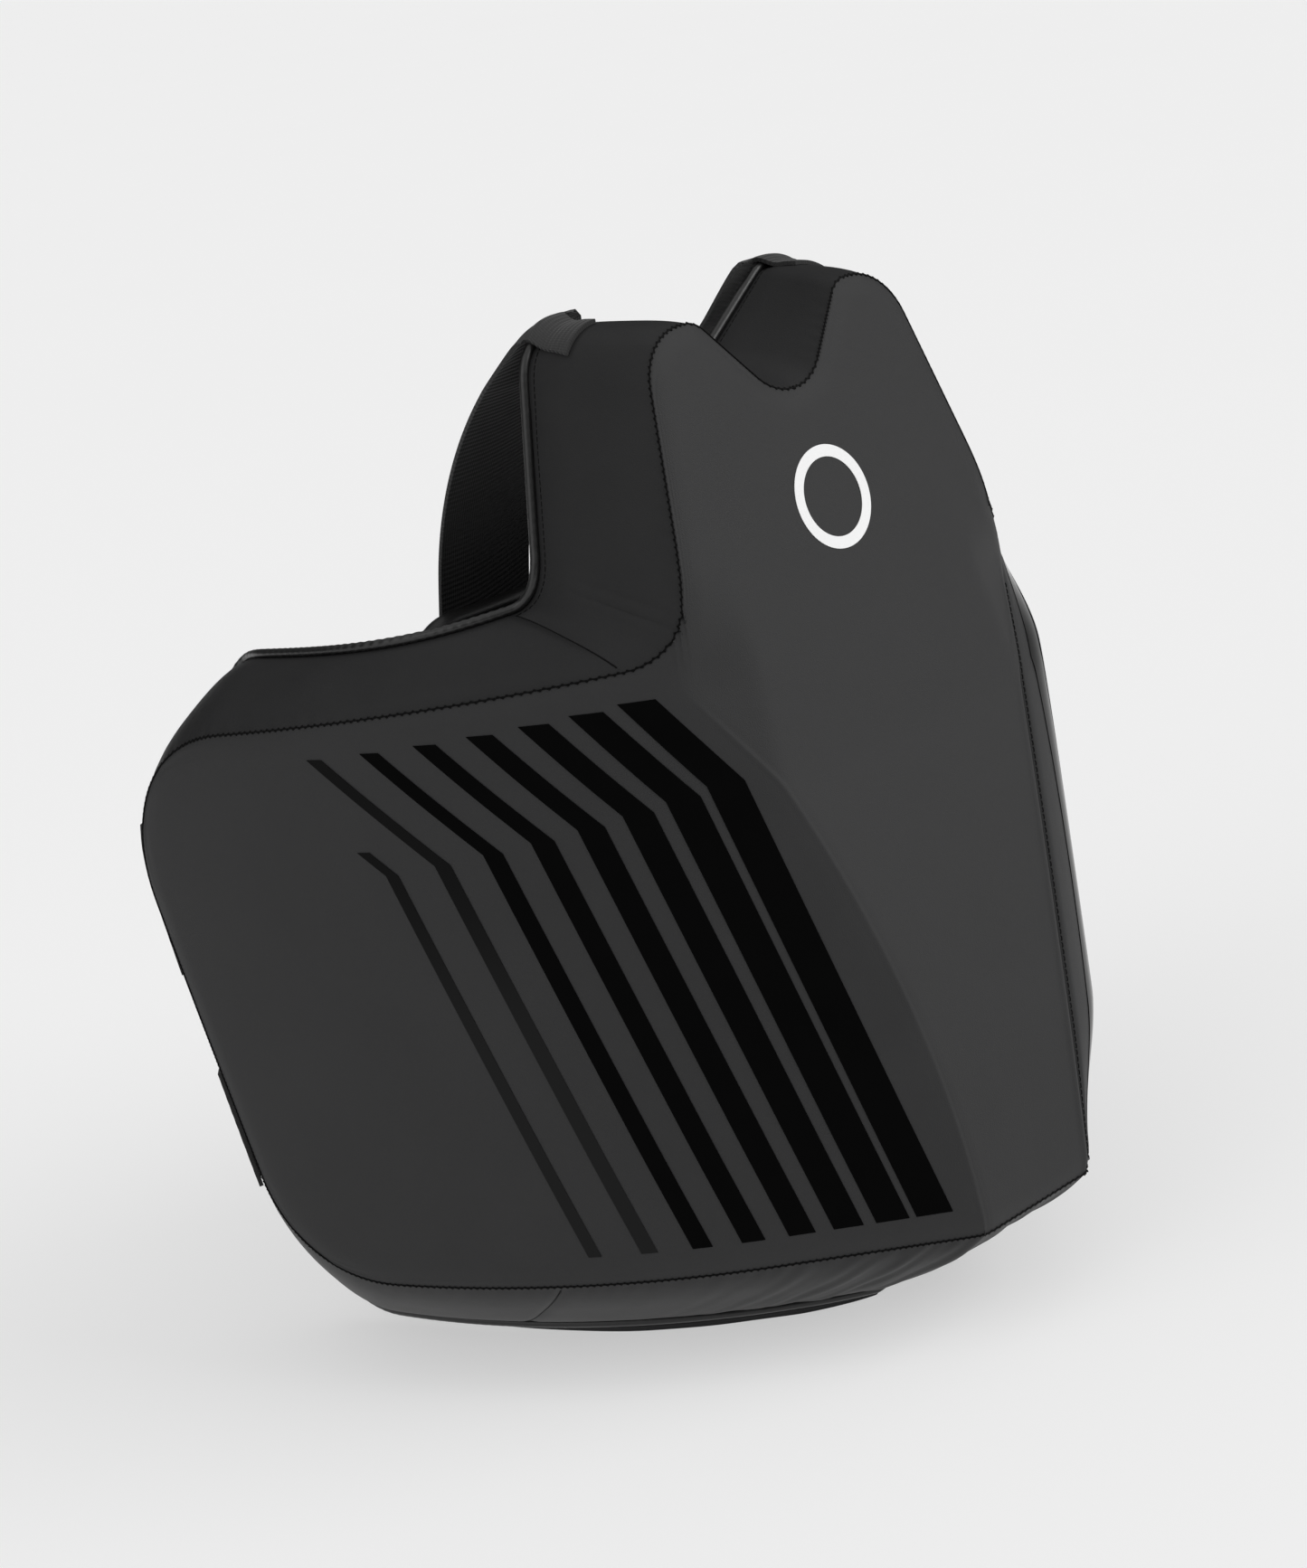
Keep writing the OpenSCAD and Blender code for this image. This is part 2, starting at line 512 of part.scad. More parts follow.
// The free strap leaves the wing behind its piping and comes to lie flat on the loop field.
hinge_in = 4;            // how far the strap's hinge lies inside the wing's rear edge
hinge_x = rim_at(1, upper_z).x - hinge_in;
hinge_y = rim_at(1, upper_z).y + piping_d + hinge_clear;
hook_gap = 0.3;          // room between the hook patch and the loop field
patch_margin = 4;        // margin of a hook patch on its strap
strap_depth = panel_rear + 2 * layer_gap + patch_t + hook_gap + patch_t + layer_gap;
touch_x = strap_tip + hook_len;
function strap_point(x, z, depth) =
    x <= touch_x ? on_back_pt(x, depth, down_at(z, depth))
    : let (t = (x - touch_x) / (hinge_x - touch_x), a = on_back_pt(touch_x, depth, down_at(z, depth)),
           lift = depth - strap_depth)
      [x, mix(a.y, hinge_y + lift, t * t * (2 - t)), z];
strap_xs = concat([strap_tip, mix(strap_tip, touch_x, 0.5)], [for (i = [0:8]) mix(touch_x, hinge_x, i / 8)]);
module waist_strap(z, w) {
    levels = [for (i = [0:4]) z + w * (i / 4 - 0.5)];
    color(web_color) slab(
        [for (h = levels) [for (x = strap_xs) strap_point(x, h, strap_depth)]],
        [for (h = levels) [for (x = strap_xs) strap_point(x, h, strap_depth + strap_t)]]);
}
module hook_patch(z, w) {
    levels = [z - w / 2 + patch_margin, z + w / 2 - patch_margin];
    xs = [strap_tip + patch_margin, touch_x - patch_margin];
    color(film_color) slab(
        [for (h = levels) [for (x = xs) strap_point(x, h, strap_depth - layer_gap - patch_t)]],
        [for (h = levels) [for (x = xs) strap_point(x, h, strap_depth - layer_gap)]]);
}

module left() { mirror([1, 0, 0]) children(); }

module front_cover() { color(cover_color) slab(layer(0), layer(skin), [0, last_col]); }
module upper_gusset() { side_wall(-arm_seam, arm_seam); }
module side_gusset_right() { side_wall(arm_seam, hem_seam); }
module side_gusset_left() { left() side_gusset_right(); }
module bottom_gusset() { side_wall(hem_seam, loop_len - hem_seam); }
module chest_foam() { foam(belly_rows, rows, -crease_col, crease_col); }
module belly_foam() { foam(0, belly_rows, -crease_col, crease_col); }
module side_foam_right() { foam(0, rows, crease_col, last_col); }
module side_foam_left() { left() side_foam_right(); }
module body_lining() { color(web_color) slab(layer(1 - skin), layer(1), [0, last_col]); }
module upper_piping() { piping(-arm_seam, arm_seam); }
module side_piping_right() { piping(arm_seam, hem_seam); }
module side_piping_left() { left() side_piping_right(); }
module bottom_piping() { piping(hem_seam, loop_len - hem_seam); }
module stripes_right() { stripes(); }
module stripes_left() { left() stripes(); }
module chest_mark() {
    color("white") translate([0, front_y(mark_z) - layer_gap, mark_z]) rotate([90 - chest_lean, 0, 0])
        linear_extrude(film_t) difference() {
            circle(d = mark_d, $fn = 96);
            circle(d = mark_d - 2 * mark_line, $fn = 96);
        }
}
module shoulder_tab_left() { left() shoulder_tab_right(); }
module shoulder_strap_left() { left() shoulder_strap_right(); }
module strap_base_upper_right() { strap_base(upper_z, upper_w); }
module strap_base_upper_left() { left() strap_base_upper_right(); }
module strap_base_lower_right() { strap_base(lower_z, lower_w); }
module strap_base_lower_left() { left() strap_base_lower_right(); }
module waist_strap_upper_right() { waist_strap(upper_z, upper_w); }
module waist_strap_upper_left() { left() waist_strap_upper_right(); }
module waist_strap_lower_right() { waist_strap(lower_z, lower_w); }
module waist_strap_lower_left() { left() waist_strap_lower_right(); }
module hook_patch_upper_right() { hook_patch(upper_z, upper_w); }
module hook_patch_upper_left() { left() hook_patch_upper_right(); }
module hook_patch_lower_right() { hook_patch(lower_z, lower_w); }
module hook_patch_lower_left() { left() hook_patch_lower_right(); }

front_cover();
upper_gusset();
side_gusset_right();
side_gusset_left();
bottom_gusset();
chest_foam();
belly_foam();
side_foam_right();
side_foam_left();
body_lining();
lining_hem();
upper_piping();
side_piping_right();
side_piping_left();
bottom_piping();
stripes_right();
stripes_left();
chest_mark();
shoulder_tab_right();
shoulder_tab_left();
strap_base_upper_right();
strap_base_upper_left();
strap_base_lower_right();
strap_base_lower_left();
shoulder_strap_right();
shoulder_strap_left();
back_pad();
back_lining();
back_binding();
loop_panel();
waist_strap_upper_right();
waist_strap_upper_left();
waist_strap_lower_right();
waist_strap_lower_left();
hook_patch_upper_right();
hook_patch_upper_left();
hook_patch_lower_right();
hook_patch_lower_left();
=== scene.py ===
# %% [markdown]
# # A padded body protector for a boxing trainer
# The real one is a thick foam pad in black leatherette that covers the chest and the belly and wraps round
# both sides. A smaller padded panel hangs behind on two shoulder straps, and four waist straps close on it.
# The measured frame gives every size and every joint. Here each piece gets its soft shape and its finish.

import math

import bpy
import numpy as np
from mathutils import Matrix, Vector
from mathutils.kdtree import KDTree


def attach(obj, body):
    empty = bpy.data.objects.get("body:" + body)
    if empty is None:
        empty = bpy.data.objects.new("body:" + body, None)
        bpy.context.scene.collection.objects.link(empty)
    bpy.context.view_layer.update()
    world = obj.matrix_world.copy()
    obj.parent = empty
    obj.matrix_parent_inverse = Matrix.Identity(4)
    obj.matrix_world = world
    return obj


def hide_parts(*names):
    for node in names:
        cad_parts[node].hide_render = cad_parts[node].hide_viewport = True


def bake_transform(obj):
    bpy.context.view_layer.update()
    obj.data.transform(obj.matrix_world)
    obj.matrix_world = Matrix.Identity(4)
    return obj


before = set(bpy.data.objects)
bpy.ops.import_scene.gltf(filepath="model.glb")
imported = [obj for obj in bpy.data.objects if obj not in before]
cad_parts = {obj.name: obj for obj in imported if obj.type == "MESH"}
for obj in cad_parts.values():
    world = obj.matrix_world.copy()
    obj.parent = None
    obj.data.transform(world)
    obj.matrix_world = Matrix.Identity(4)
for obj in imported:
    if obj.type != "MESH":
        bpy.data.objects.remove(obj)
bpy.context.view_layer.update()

# %% [markdown]
# ## Sizes
# All lengths below are in millimetres and are turned into metres only when a mesh is made. They are the sizes
# the pad was cut to, so that the soft shapes lie exactly over the frame's solids.

# %% Sizes of the pad
lobe_top, neck_low, lobe_in, lobe_out, arm_half, arm_z = 602, 552, 60, 101, 139, 432
hem_z, body_hem, keel_half, knee_half, knee_z, belly_bow, chest_lean = 71, 11, 50, 107, 354, 10, 13.9
wing_len, wing_top, facet_angle, facet_len, rear_angle, wing_slant = 512, 400, 44, 120, 90.5, 80
top_corner_r, bottom_corner_r, pad_t, belly_t, body_lean, top_flare = 85, 80, 82, 100, 9, 27
cover_t, layer_gap, piping_d, strap_t, hinge_clear = 1, 0.1, 6, 2.5, 3
neck_flare, lobe_rise, lobe_in_flare, lobe_out_flare, arm_flare, arm_half_flare = 11, 2, 21, 14, 29, 16
rear_flare, body_keel, hem_rise, hem_flat = -6, 35, 7, (90, 205)
corner_half, corner_z, facet_w, fade_h, merge_h = arm_half + 3, arm_z - 15, 45, 90, 60
neck_half, neck_r, lobe_in_r, lobe_out_r, arm_r, body_extra_r = 16, 37, 18, 36, 42, 8


def ramp(t):
    return np.clip(t, 0.0, 1.0)


def ease(t):
    c = ramp(t)
    return c * c * (3 - 2 * c)


def mix(a, b, t):
    return a + (b - a) * t


def unit(v):
    return v / np.maximum(np.linalg.norm(v, axis=-1, keepdims=True), 1e-9)


def tan_deg(angle):
    return math.tan(math.radians(angle))


# %% [markdown]
# ## The faces of the pad
# Each face is a sheet that was cut flat and bent, so a point on it is given by how far out it lies along the
# sheet and by its height. Plain functions of those two numbers describe the faces better than sculpting
# would, because the cover, the side walls, the stripes and the seams can all ask for the same surface.

# %% The wing's plan and the outer face
arc_r = (wing_len - facet_len) / math.radians(rear_angle - facet_angle)


def wing_plan(s, depth):
    bent = np.maximum(s - facet_len, 0) / (wing_len - facet_len)
    turn = np.radians(facet_angle + (rear_angle - facet_angle) * bent)
    start, flat = math.radians(facet_angle), np.minimum(s, facet_len)
    x = keel_half + flat * math.cos(start) + arc_r * (np.sin(turn) - math.sin(start)) - depth * np.sin(turn)
    y = flat * math.sin(start) + arc_r * (math.cos(start) - np.cos(turn)) + depth * np.cos(turn)
    return x, y


front = -(wing_plan(wing_len + rear_flare, pad_t)[1] + piping_d + hinge_clear + strap_t) / 2


def wall(s, depth=0.0):
    x, y = wing_plan(np.asarray(s, float), depth)
    return x, y + front


def crease_x(z):
    t = ramp((z - hem_z) / (knee_z - hem_z))
    low = mix(keel_half, knee_half, t) - belly_bow * 4 * t * (1 - t)
    return np.where(z < knee_z, low, mix(knee_half, corner_half, ramp((z - knee_z) / (corner_z - knee_z))))


def front_y(z):
    below = crease_x(np.minimum(z, knee_z - 1e-6)) - keel_half
    return front + below * tan_deg(facet_angle) + np.maximum(z - knee_z, 0) * tan_deg(chest_lean)


SOFT_WING, SEWN_WING = 5.0, 18.0


def swell(off, z, proud):
    """How far the wing's foam stands proud of its flat cut, off mm behind the crease."""
    along_wing = (1 - (1 - ramp(off / 62)) ** 2) * (1 - ease((off - 62) / 230))
    return proud * along_wing * ease((z - hem_z) / 90) * ease((arm_z + 4 - z) / 75)


def crease_s(z):
    return (crease_x(z) - keel_half) / math.cos(math.radians(facet_angle))


def outer(p, z, proud=SOFT_WING):
    c, s0 = crease_x(z), crease_s(z)
    s = s0 + (wing_len - s0) * (p - c) / (wing_len - c)
    x, y = wall(s, -swell(s - s0, z, proud))
    w = 1 + facet_w * ramp((z - knee_z) / (corner_z - knee_z))
    step_back = (wall(s0)[1] - front_y(z)) * ramp((p - c + w) / w) * (1 - ease((z - corner_z) / fade_h))
    flat = p <= c
    return np.stack([np.where(flat, p, x), np.where(flat, front_y(z) + step_back, y), z], -1)


def body_y(z):
    return front + belly_t + z * tan_deg(body_lean)


def body(p, z):
    start = math.radians(facet_angle)
    s0 = (body_y(z) - front - pad_t * math.cos(start)) / math.sin(start)
    c = wall(s0, pad_t)[0]
    x, y = wall(s0 + (wing_len - s0) * (p - c) / (wing_len - c), pad_t)
    up = ease((z - wing_top - top_flare) / merge_h)
    flat = p <= c
    return np.stack([np.where(flat, p, mix(x, p, up)), np.where(flat, body_y(z), mix(y, body_y(z), up)), z], -1)


# %% [markdown]
# ## The outline
# The outline is a line of straight cuts with rounded corners. Both faces use the same stations, so a side
# wall only has to join the points that have the same number.

# %% Outline stations
NECK, ROUND_NECK, SLOPE, ROUND_IN, LOBE, ROUND_OUT = 2, 8, 8, 8, 3, 10
ARM, ROUND_ARM, WING, ROUND_REAR = 26, 14, 46, 20
CREASE = NECK + ROUND_NECK + SLOPE + ROUND_IN + LOBE + ROUND_OUT + ARM + ROUND_ARM // 2
REAR = 60
LAST = CREASE + ROUND_ARM // 2 + WING + ROUND_REAR // 2
ROWS = REAR + ROUND_REAR


def fillet(a, v, b, r, n, share_a=0.5, share_b=0.5):
    a, v, b = (np.array(q, float) for q in (a, v, b))
    da, db = unit(a - v), unit(b - v)
    half = math.acos(float(da @ db)) / 2
    t = min(r / math.tan(half), share_a * np.linalg.norm(a - v), share_b * np.linalg.norm(b - v))
    fit = t * math.tan(half)
    c = v + unit(da + db) * fit / math.sin(half)
    a0, a1 = (math.atan2(*(v + d * t - c)[::-1]) for d in (da, db))
    sweep = (a1 - a0 + 3 * math.pi) % (2 * math.pi) - math.pi
    angles = a0 + sweep * np.arange(n + 1) / n
    return c + fit * np.stack([np.cos(angles), np.sin(angles)], -1)


def along(a, b, n):
    return np.array([mix(np.array(a, float), np.array(b, float), i / n) for i in range(n)])


def edges(neck, lobe, lobe_a, lobe_b, arm_p, arm_h, rear, top, slant, hem, keel, extra_r):
    v = [(0, neck), (neck_half, neck), (lobe_a, lobe), (lobe_b, lobe), (arm_p, arm_h),
         (rear, top), (rear - slant, hem), (0, hem)]
    k1 = fillet(v[0], v[1], v[2], neck_r, ROUND_NECK, 0.96, 0.6)
    k2 = fillet(v[1], v[2], v[3], lobe_in_r, ROUND_IN, 0.3, 0.25)
    k3 = fillet(v[2], v[3], v[4], lobe_out_r, ROUND_OUT, 0.72, 0.3)
    k4 = fillet(v[3], v[4], v[5], arm_r, ROUND_ARM)
    k5 = fillet(v[4], v[5], v[6], top_corner_r + extra_r, ROUND_REAR)
    k6 = fillet(v[5], v[6], v[7], bottom_corner_r + extra_r, ROUND_REAR)
    h = ROUND_REAR // 2
    bottom = [along((0, hem), (keel, hem), CREASE), along((keel, hem), k6[-1], LAST - CREASE - h), k6[h:][::-1]]
    right = [k6[1:h + 1][::-1], along(k6[0], k5[-1], REAR), k5[h:][::-1]]
    top_edge = [along(v[0], k1[0], NECK), k1[:-1], along(k1[-1], k2[0], SLOPE), k2[:-1], along(k2[-1], k3[0], LOBE),
                k3[:-1], along(k3[-1], k4[0], ARM), k4[:-1], along(k4[-1], k5[0], WING), k5[:h + 1]]
    return [np.concatenate(part) for part in (bottom, right, top_edge)]


outer_edges = edges(neck_low, lobe_top, lobe_in, lobe_out, arm_half, arm_z,
                    wing_len, wing_top, wing_slant, hem_z, keel_half, 0)
body_edges = edges(neck_low + neck_flare, lobe_top + lobe_rise, lobe_in + lobe_in_flare, lobe_out + lobe_out_flare,
                   arm_half + arm_half_flare, arm_z + arm_flare, wing_len + rear_flare, wing_top + top_flare,
                   0, body_hem, body_keel, body_extra_r)
body_edges[0][:, 1] += hem_rise * ramp(1 - body_edges[0][:, 0] / hem_flat[0]) ** 2
print("outline stations:", [len(e) for e in outer_edges])

# %% [markdown]
# A sheet of points is filled in between the four edges. The seams and the crease need a finer mesh than the
# smooth wings, so extra stations are put in there only, which keeps the whole pad light.

# %% Fill the sheets
def fine(n, ends, middle=None):
    steps = [np.arange(0, ends, 0.25), np.arange(ends, n - ends, 1.0), np.arange(n - ends, n + 0.1, 0.25)]
    if middle:
        steps.append(np.arange(middle - 7, middle + 7, 0.25))
    return np.unique(np.concatenate(steps))


COLS, LEVELS = fine(LAST, 2, CREASE), fine(ROWS, 3)


def fill(edge, follow_crease):
    b, r, u = edge
    j, i = np.arange(ROWS + 1)[:, None], np.arange(LAST + 1)[None, :]
    t, s = (j / ROWS)[..., None], ramp((i - CREASE) / (LAST - CREASE))[..., None]
    q = mix(b[None], u[None], t) + s * (r[:, None] - mix(r[0], r[-1], t))
    if follow_crease:
        weight = np.where(i <= CREASE, i / CREASE, (LAST - i) / (LAST - CREASE))
        shift = crease_x(q[..., 1]) - mix(b[CREASE, 0], u[CREASE, 0], j / ROWS)
        q[..., 0] += weight * shift * np.minimum(np.minimum(j, ROWS - j) / 8, 1)
    j0, i0 = np.minimum(LEVELS.astype(int), ROWS - 1), np.minimum(COLS.astype(int), LAST - 1)
    fj, fi = (LEVELS - j0)[:, None, None], (COLS - i0)[None, :, None]
    low = mix(q[j0][:, i0], q[j0][:, i0 + 1], fi)
    return mix(low, mix(q[j0 + 1][:, i0], q[j0 + 1][:, i0 + 1], fi), fj)


outer_cut, body_cut = fill(outer_edges, True), fill(body_edges, False)
print("sheet of", outer_cut.shape[0], "by", outer_cut.shape[1], "points a side")


# %% Helpers for sheets of points
def mirrored(points):
    return points * np.array([-1.0, 1, 1])


def both(right, left):
    return np.concatenate([mirrored(left[:, :0:-1]), right], 1)


def normals(grid):
    across, up = np.gradient(grid, axis=1), np.gradient(grid, axis=0)
    return unit(np.cross(across, up))


# %% [markdown]
# ## The cover
# The leatherette is stretched over foam, so the crease is never sharp: averaging the face over a small patch
# round each point rounds it as foam does. The left crease keeps a thin raised line, and the right one is
# stitched down into a groove, so the wing behind it puffs out more. Near every seam the cover rolls inwards,
# because the thread pulls it down.

# %% Shape the cover
crease_soft, roll_in, roll_reach = 8.0, 2.8, 15.0


def soft_face(p, z, proud=SOFT_WING):
    total, weight = 0, 0
    for a in (-1, -0.5, 0, 0.5, 1):
        for b in (-1, -0.5, 0, 0.5, 1):
            w = (1.4 - abs(a)) * (1.4 - abs(b))
            total, weight = total + w * outer(p + a * crease_soft, z + b * crease_soft, proud), weight + w
    return total / weight


def crease_line(p, z, stitched):
    off, body_of_crease = p - crease_x(z), ease((corner_z + 5 - z) / 40)
    if stitched:
        return body_of_crease * (0.9 * np.exp(-((off + 5) / 2.5) ** 2) - 3.2 * np.exp(-((off - 1.0) / 2.4) ** 2))
    return body_of_crease * 0.55 * np.exp(-(off / 2.2) ** 2)


def cover_half(stitched):
    p, z = outer_cut[..., 0], outer_cut[..., 1]
    face = soft_face(p, z, SEWN_WING if stitched else SOFT_WING)
    face = face + normals(face) * crease_line(p, z, stitched)[..., None]
    edge = np.concatenate([face[-1], face[:, -1], face[0]])
    tree = KDTree(len(edge))
    for n, q in enumerate(edge):
        tree.insert(q, n)
    tree.balance()
    near = np.array([tree.find(q)[2] for q in face.reshape(-1, 3)]).reshape(face.shape[:2])
    return face - normals(face) * (roll_in * (1 - ramp(near / roll_reach)) ** 2)[..., None]


cover = both(cover_half(True), cover_half(False))
lining = both(*[body(body_cut[..., 0], body_cut[..., 1])] * 2)
print("cover box", np.round(cover.min((0, 1))), np.round(cover.max((0, 1))))

# %% [markdown]
# ## Making meshes
# Every sheet on the pad has a real thickness, so a sheet becomes a closed mesh: its outer points, its inner
# points, and a narrow band round the rim. The signed volume tells whether the faces point outwards.

# %% Mesh makers
def put(name, verts, faces, material, uv=None, sharp=40):
    mesh = bpy.data.meshes.new(name)
    mesh.from_pydata((np.asarray(verts, float) / 1000).tolist(), [], faces)
    a = np.array([verts[f[0]] for f in faces])
    b = np.array([verts[f[1]] for f in faces])
    c = np.array([verts[f[2]] for f in faces])
    d = np.array([verts[f[-1]] for f in faces])
    if (a * (np.cross(b, c) + np.cross(c, d))).sum() < 0:
        mesh.flip_normals()
    if uv is not None:
        layer, index = mesh.uv_layers.new(name="lengths"), np.zeros(len(mesh.loops), np.int32)
        mesh.loops.foreach_get("vertex_index", index)
        layer.data.foreach_set("uv", np.asarray(uv, np.float32)[index].ravel())
    mesh.polygons.foreach_set("use_smooth", [True] * len(mesh.polygons))
    mesh.set_sharp_from_angle(angle=math.radians(sharp))
    mesh.materials.append(material)
    piece = bpy.data.objects.new(name, mesh)
    bpy.context.scene.collection.objects.link(piece)
    return piece


def lengths(grid):
    u = np.concatenate([np.zeros((len(grid), 1)), np.cumsum(np.linalg.norm(np.diff(grid, axis=1), axis=-1), 1)], 1)
    v = np.concatenate([np.zeros((1, grid.shape[1])), np.cumsum(np.linalg.norm(np.diff(grid, axis=0), axis=-1), 0)], 0)
    return np.stack([u, v], -1) / 1000


def sheet_mesh(name, outside, inside, material):
    rows, cols = outside.shape[:2]
    n = rows * cols
    number = np.arange(n).reshape(rows, cols)
    quad = np.stack([number[:-1, :-1], number[:-1, 1:], number[1:, 1:], number[1:, :-1]], -1).reshape(-1, 4)
    loop = np.concatenate([number[0], number[1:, -1], number[-1, -2::-1], number[-2:0:-1, 0]])
    after = np.roll(loop, -1)
    band = np.stack([loop, loop + n, after + n, after], -1)
    faces = np.concatenate([quad, quad[:, ::-1] + n, band]).tolist()
    uv = lengths(outside).reshape(-1, 2)
    return put(name, np.concatenate([outside.reshape(-1, 3), inside.reshape(-1, 3)]), faces, material,
               np.concatenate([uv, uv]))


def band_mesh(name, middle, thick, material):
    lift = normals(middle) * thick / 2
    return sheet_mesh(name, middle + lift, middle - lift, material)


def tube_mesh(name, centres, side, radius, material, sides=14, closed=False):
    way = unit(np.roll(centres, -1, 0) - np.roll(centres, 1, 0) if closed else np.gradient(centres, axis=0))
    u = unit(side - (side * way).sum(-1, keepdims=True) * way)
    v = np.cross(way, u)
    turn = 2 * math.pi * np.arange(sides) / sides
    ring = np.cos(turn)[None, :, None] * u[:, None] + np.sin(turn)[None, :, None] * v[:, None]
    verts = (centres[:, None] + ring * np.asarray(radius)[..., None]).reshape(-1, 3)
    n, faces = len(centres), []
    for k in range(n if closed else n - 1):
        a, b = k * sides, (k + 1) % n * sides
        faces += [(a + i, a + (i + 1) % sides, b + (i + 1) % sides, b + i) for i in range(sides)]
    if not closed:
        faces += [tuple(range(sides))[::-1], tuple(range((n - 1) * sides, n * sides))]
    run = np.concatenate([[0], np.cumsum(np.linalg.norm(np.diff(centres, axis=0), axis=1))]) / 1000
    uv = np.stack(np.broadcast_arrays(np.arange(sides) / sides * 0.02, run[:, None]), -1).reshape(-1, 2)
    return put(name, verts, faces, material, uv, 60)


def thread_mesh(name, lines, radius, material):
    curve = bpy.data.curves.new(name, "CURVE")
    curve.dimensions, curve.bevel_depth, curve.bevel_resolution = "3D", radius / 1000, 1
    for line in lines:
        spline = curve.splines.new("POLY")
        spline.points.add(len(line) - 1)
        spline.points.foreach_set("co", np.c_[np.asarray(line) / 1000, np.ones(len(line))].ravel())
    curve.materials.append(material)
    piece = bpy.data.objects.new(name, curve)
    bpy.context.scene.collection.objects.link(piece)
    return piece


# %% [markdown]
# ## Finishes
# Black materials are told apart by how they shine, not by colour. Each finish is a Principled shader: noise
# varies its colour and roughness a little, and a height pattern at the real scale gives grain or weave.

# %% Finish helpers
def finish_of(name, colour, roughness, **sockets):
    material = bpy.data.materials.new(name)
    material.use_nodes = True
    shader = material.node_tree.nodes["Principled BSDF"]
    shader.inputs["Base Color"].default_value = (*colour, 1)
    shader.inputs["Roughness"].default_value = roughness
    for socket, value in sockets.items():
        shader.inputs[socket.replace("_", " ")].default_value = value
    return material


def node(material, kind, **values):
    made = material.node_tree.nodes.new(kind)
    for key, value in values.items():
        if hasattr(made, key):
            setattr(made, key, value)
        else:
            made.inputs[key.replace("_", " ")].default_value = value
    return made


def join(material, source, target):
    material.node_tree.links.new(source, target)


def mottle(material, colour, spread, roughness, swing, scale=18.0):
    shader = material.node_tree.nodes["Principled BSDF"]
    where = node(material, "ShaderNodeTexCoord")
    noise = node(material, "ShaderNodeTexNoise", Scale=scale, Detail=5.0, Roughness=0.6)
    join(material, where.outputs["Object"], noise.inputs["Vector"])
    tint = node(material, "ShaderNodeValToRGB")
    tint.color_ramp.elements[0].position, tint.color_ramp.elements[1].position = 0.3, 0.7
    for stop, share in zip(tint.color_ramp.elements, (1 - spread, 1 + spread)):
        stop.color = (*[c * share for c in colour], 1)
    join(material, noise.outputs["Fac"], tint.inputs["Fac"])
    join(material, tint.outputs["Color"], shader.inputs["Base Color"])
    rough = node(material, "ShaderNodeMapRange")
    rough.inputs["To Min"].default_value, rough.inputs["To Max"].default_value = roughness - swing, roughness + swing
    join(material, noise.outputs["Fac"], rough.inputs["Value"])
    join(material, rough.outputs["Result"], shader.inputs["Roughness"])


def mottled(name, colour, roughness, spread, swing, scale, **sockets):
    made = finish_of(name, colour, roughness, **sockets)
    mottle(made, colour, spread, roughness, swing, scale)
    return made


def relief(material, heights):
    """Stacks height patterns, each (output socket, strength, depth in metres), into the shader's normal."""
    last = None
    for height, strength, depth in heights:
        bump = node(material, "ShaderNodeBump")
        bump.inputs["Strength"].default_value, bump.inputs["Distance"].default_value = strength, depth
        join(material, height, bump.inputs["Height"])
        if last:
            join(material, last.outputs["Normal"], bump.inputs["Normal"])
        last = bump
    join(material, last.outputs["Normal"], material.node_tree.nodes["Principled BSDF"].inputs["Normal"])


def pattern(material, kind, coordinates, **values):
    where = node(material, "ShaderNodeTexCoord")
    made = node(material, kind, **values)
    join(material, where.outputs[coordinates], made.inputs["Vector"])
    return made


# %% Leatherette
def leather(name, colour, roughness, grain, ripple, shine):
    made = finish_of(name, colour, roughness, Specular_IOR_Level=shine)
    mottle(made, colour, 0.07, roughness, 0.05)
    pores = pattern(made, "ShaderNodeTexVoronoi", "Object", Scale=1500.0)
    soft = pattern(made, "ShaderNodeTexNoise", "Object", Scale=60.0, Detail=3.0)
    broad = pattern(made, "ShaderNodeTexNoise", "Object", Scale=9.0, Detail=1.0)
    relief(made, [(broad.outputs["Fac"], 0.5, ripple), (soft.outputs["Fac"], 0.35, 0.0004),
                  (pores.outputs["Distance"], grain, 0.0003)])
    return made


cover_leather = leather("cover_leather", (0.024, 0.024, 0.0245), 0.60, 0.35, 0.004, 0.26)
side_leather = leather("side_leather", (0.021, 0.021, 0.0214), 0.47, 0.28, 0.004, 0.12)
piping_leather = leather("piping_leather", (0.010, 0.010, 0.010), 0.33, 0.15, 0.002, 0.5)
binding_leather = leather("binding_leather", (0.011, 0.011, 0.011), 0.40, 0.2, 0.002, 0.3)

# %% Film, thread and white print
gloss_film = mottled("gloss_film", (0.0006, 0.0006, 0.0006), 0.12, 0.3, 0.04, 30.0, Specular_IOR_Level=0.03)
lower_dull_film = finish_of("lower_dull_film", (0.008, 0.0074, 0.0074), 0.35, Specular_IOR_Level=0.08)
height_on_pad = node(lower_dull_film, "ShaderNodeSeparateXYZ")
join(lower_dull_film, node(lower_dull_film, "ShaderNodeTexCoord").outputs["Object"], height_on_pad.inputs["Vector"])
# The film is lighter and rougher towards the bottom of the pad, by height.
for socket, low, high in (("Base Color", 0.0095, 0.0015), ("Roughness", 0.45, 0.14)):
    fade = node(lower_dull_film, "ShaderNodeMapRange", interpolation_type="SMOOTHSTEP")
    for key, value in (("From Min", 0.20), ("From Max", 0.34), ("To Min", low), ("To Max", high)):
        fade.inputs[key].default_value = value
    join(lower_dull_film, height_on_pad.outputs["Z"], fade.inputs["Value"])
    join(lower_dull_film, fade.outputs["Result"], lower_dull_film.node_tree.nodes["Principled BSDF"].inputs[socket])
for film in (gloss_film, lower_dull_film):
    wave = pattern(film, "ShaderNodeTexNoise", "Object", Scale=14.0, Detail=2.0)
    relief(film, [(wave.outputs["Fac"], 0.25, 0.003)])
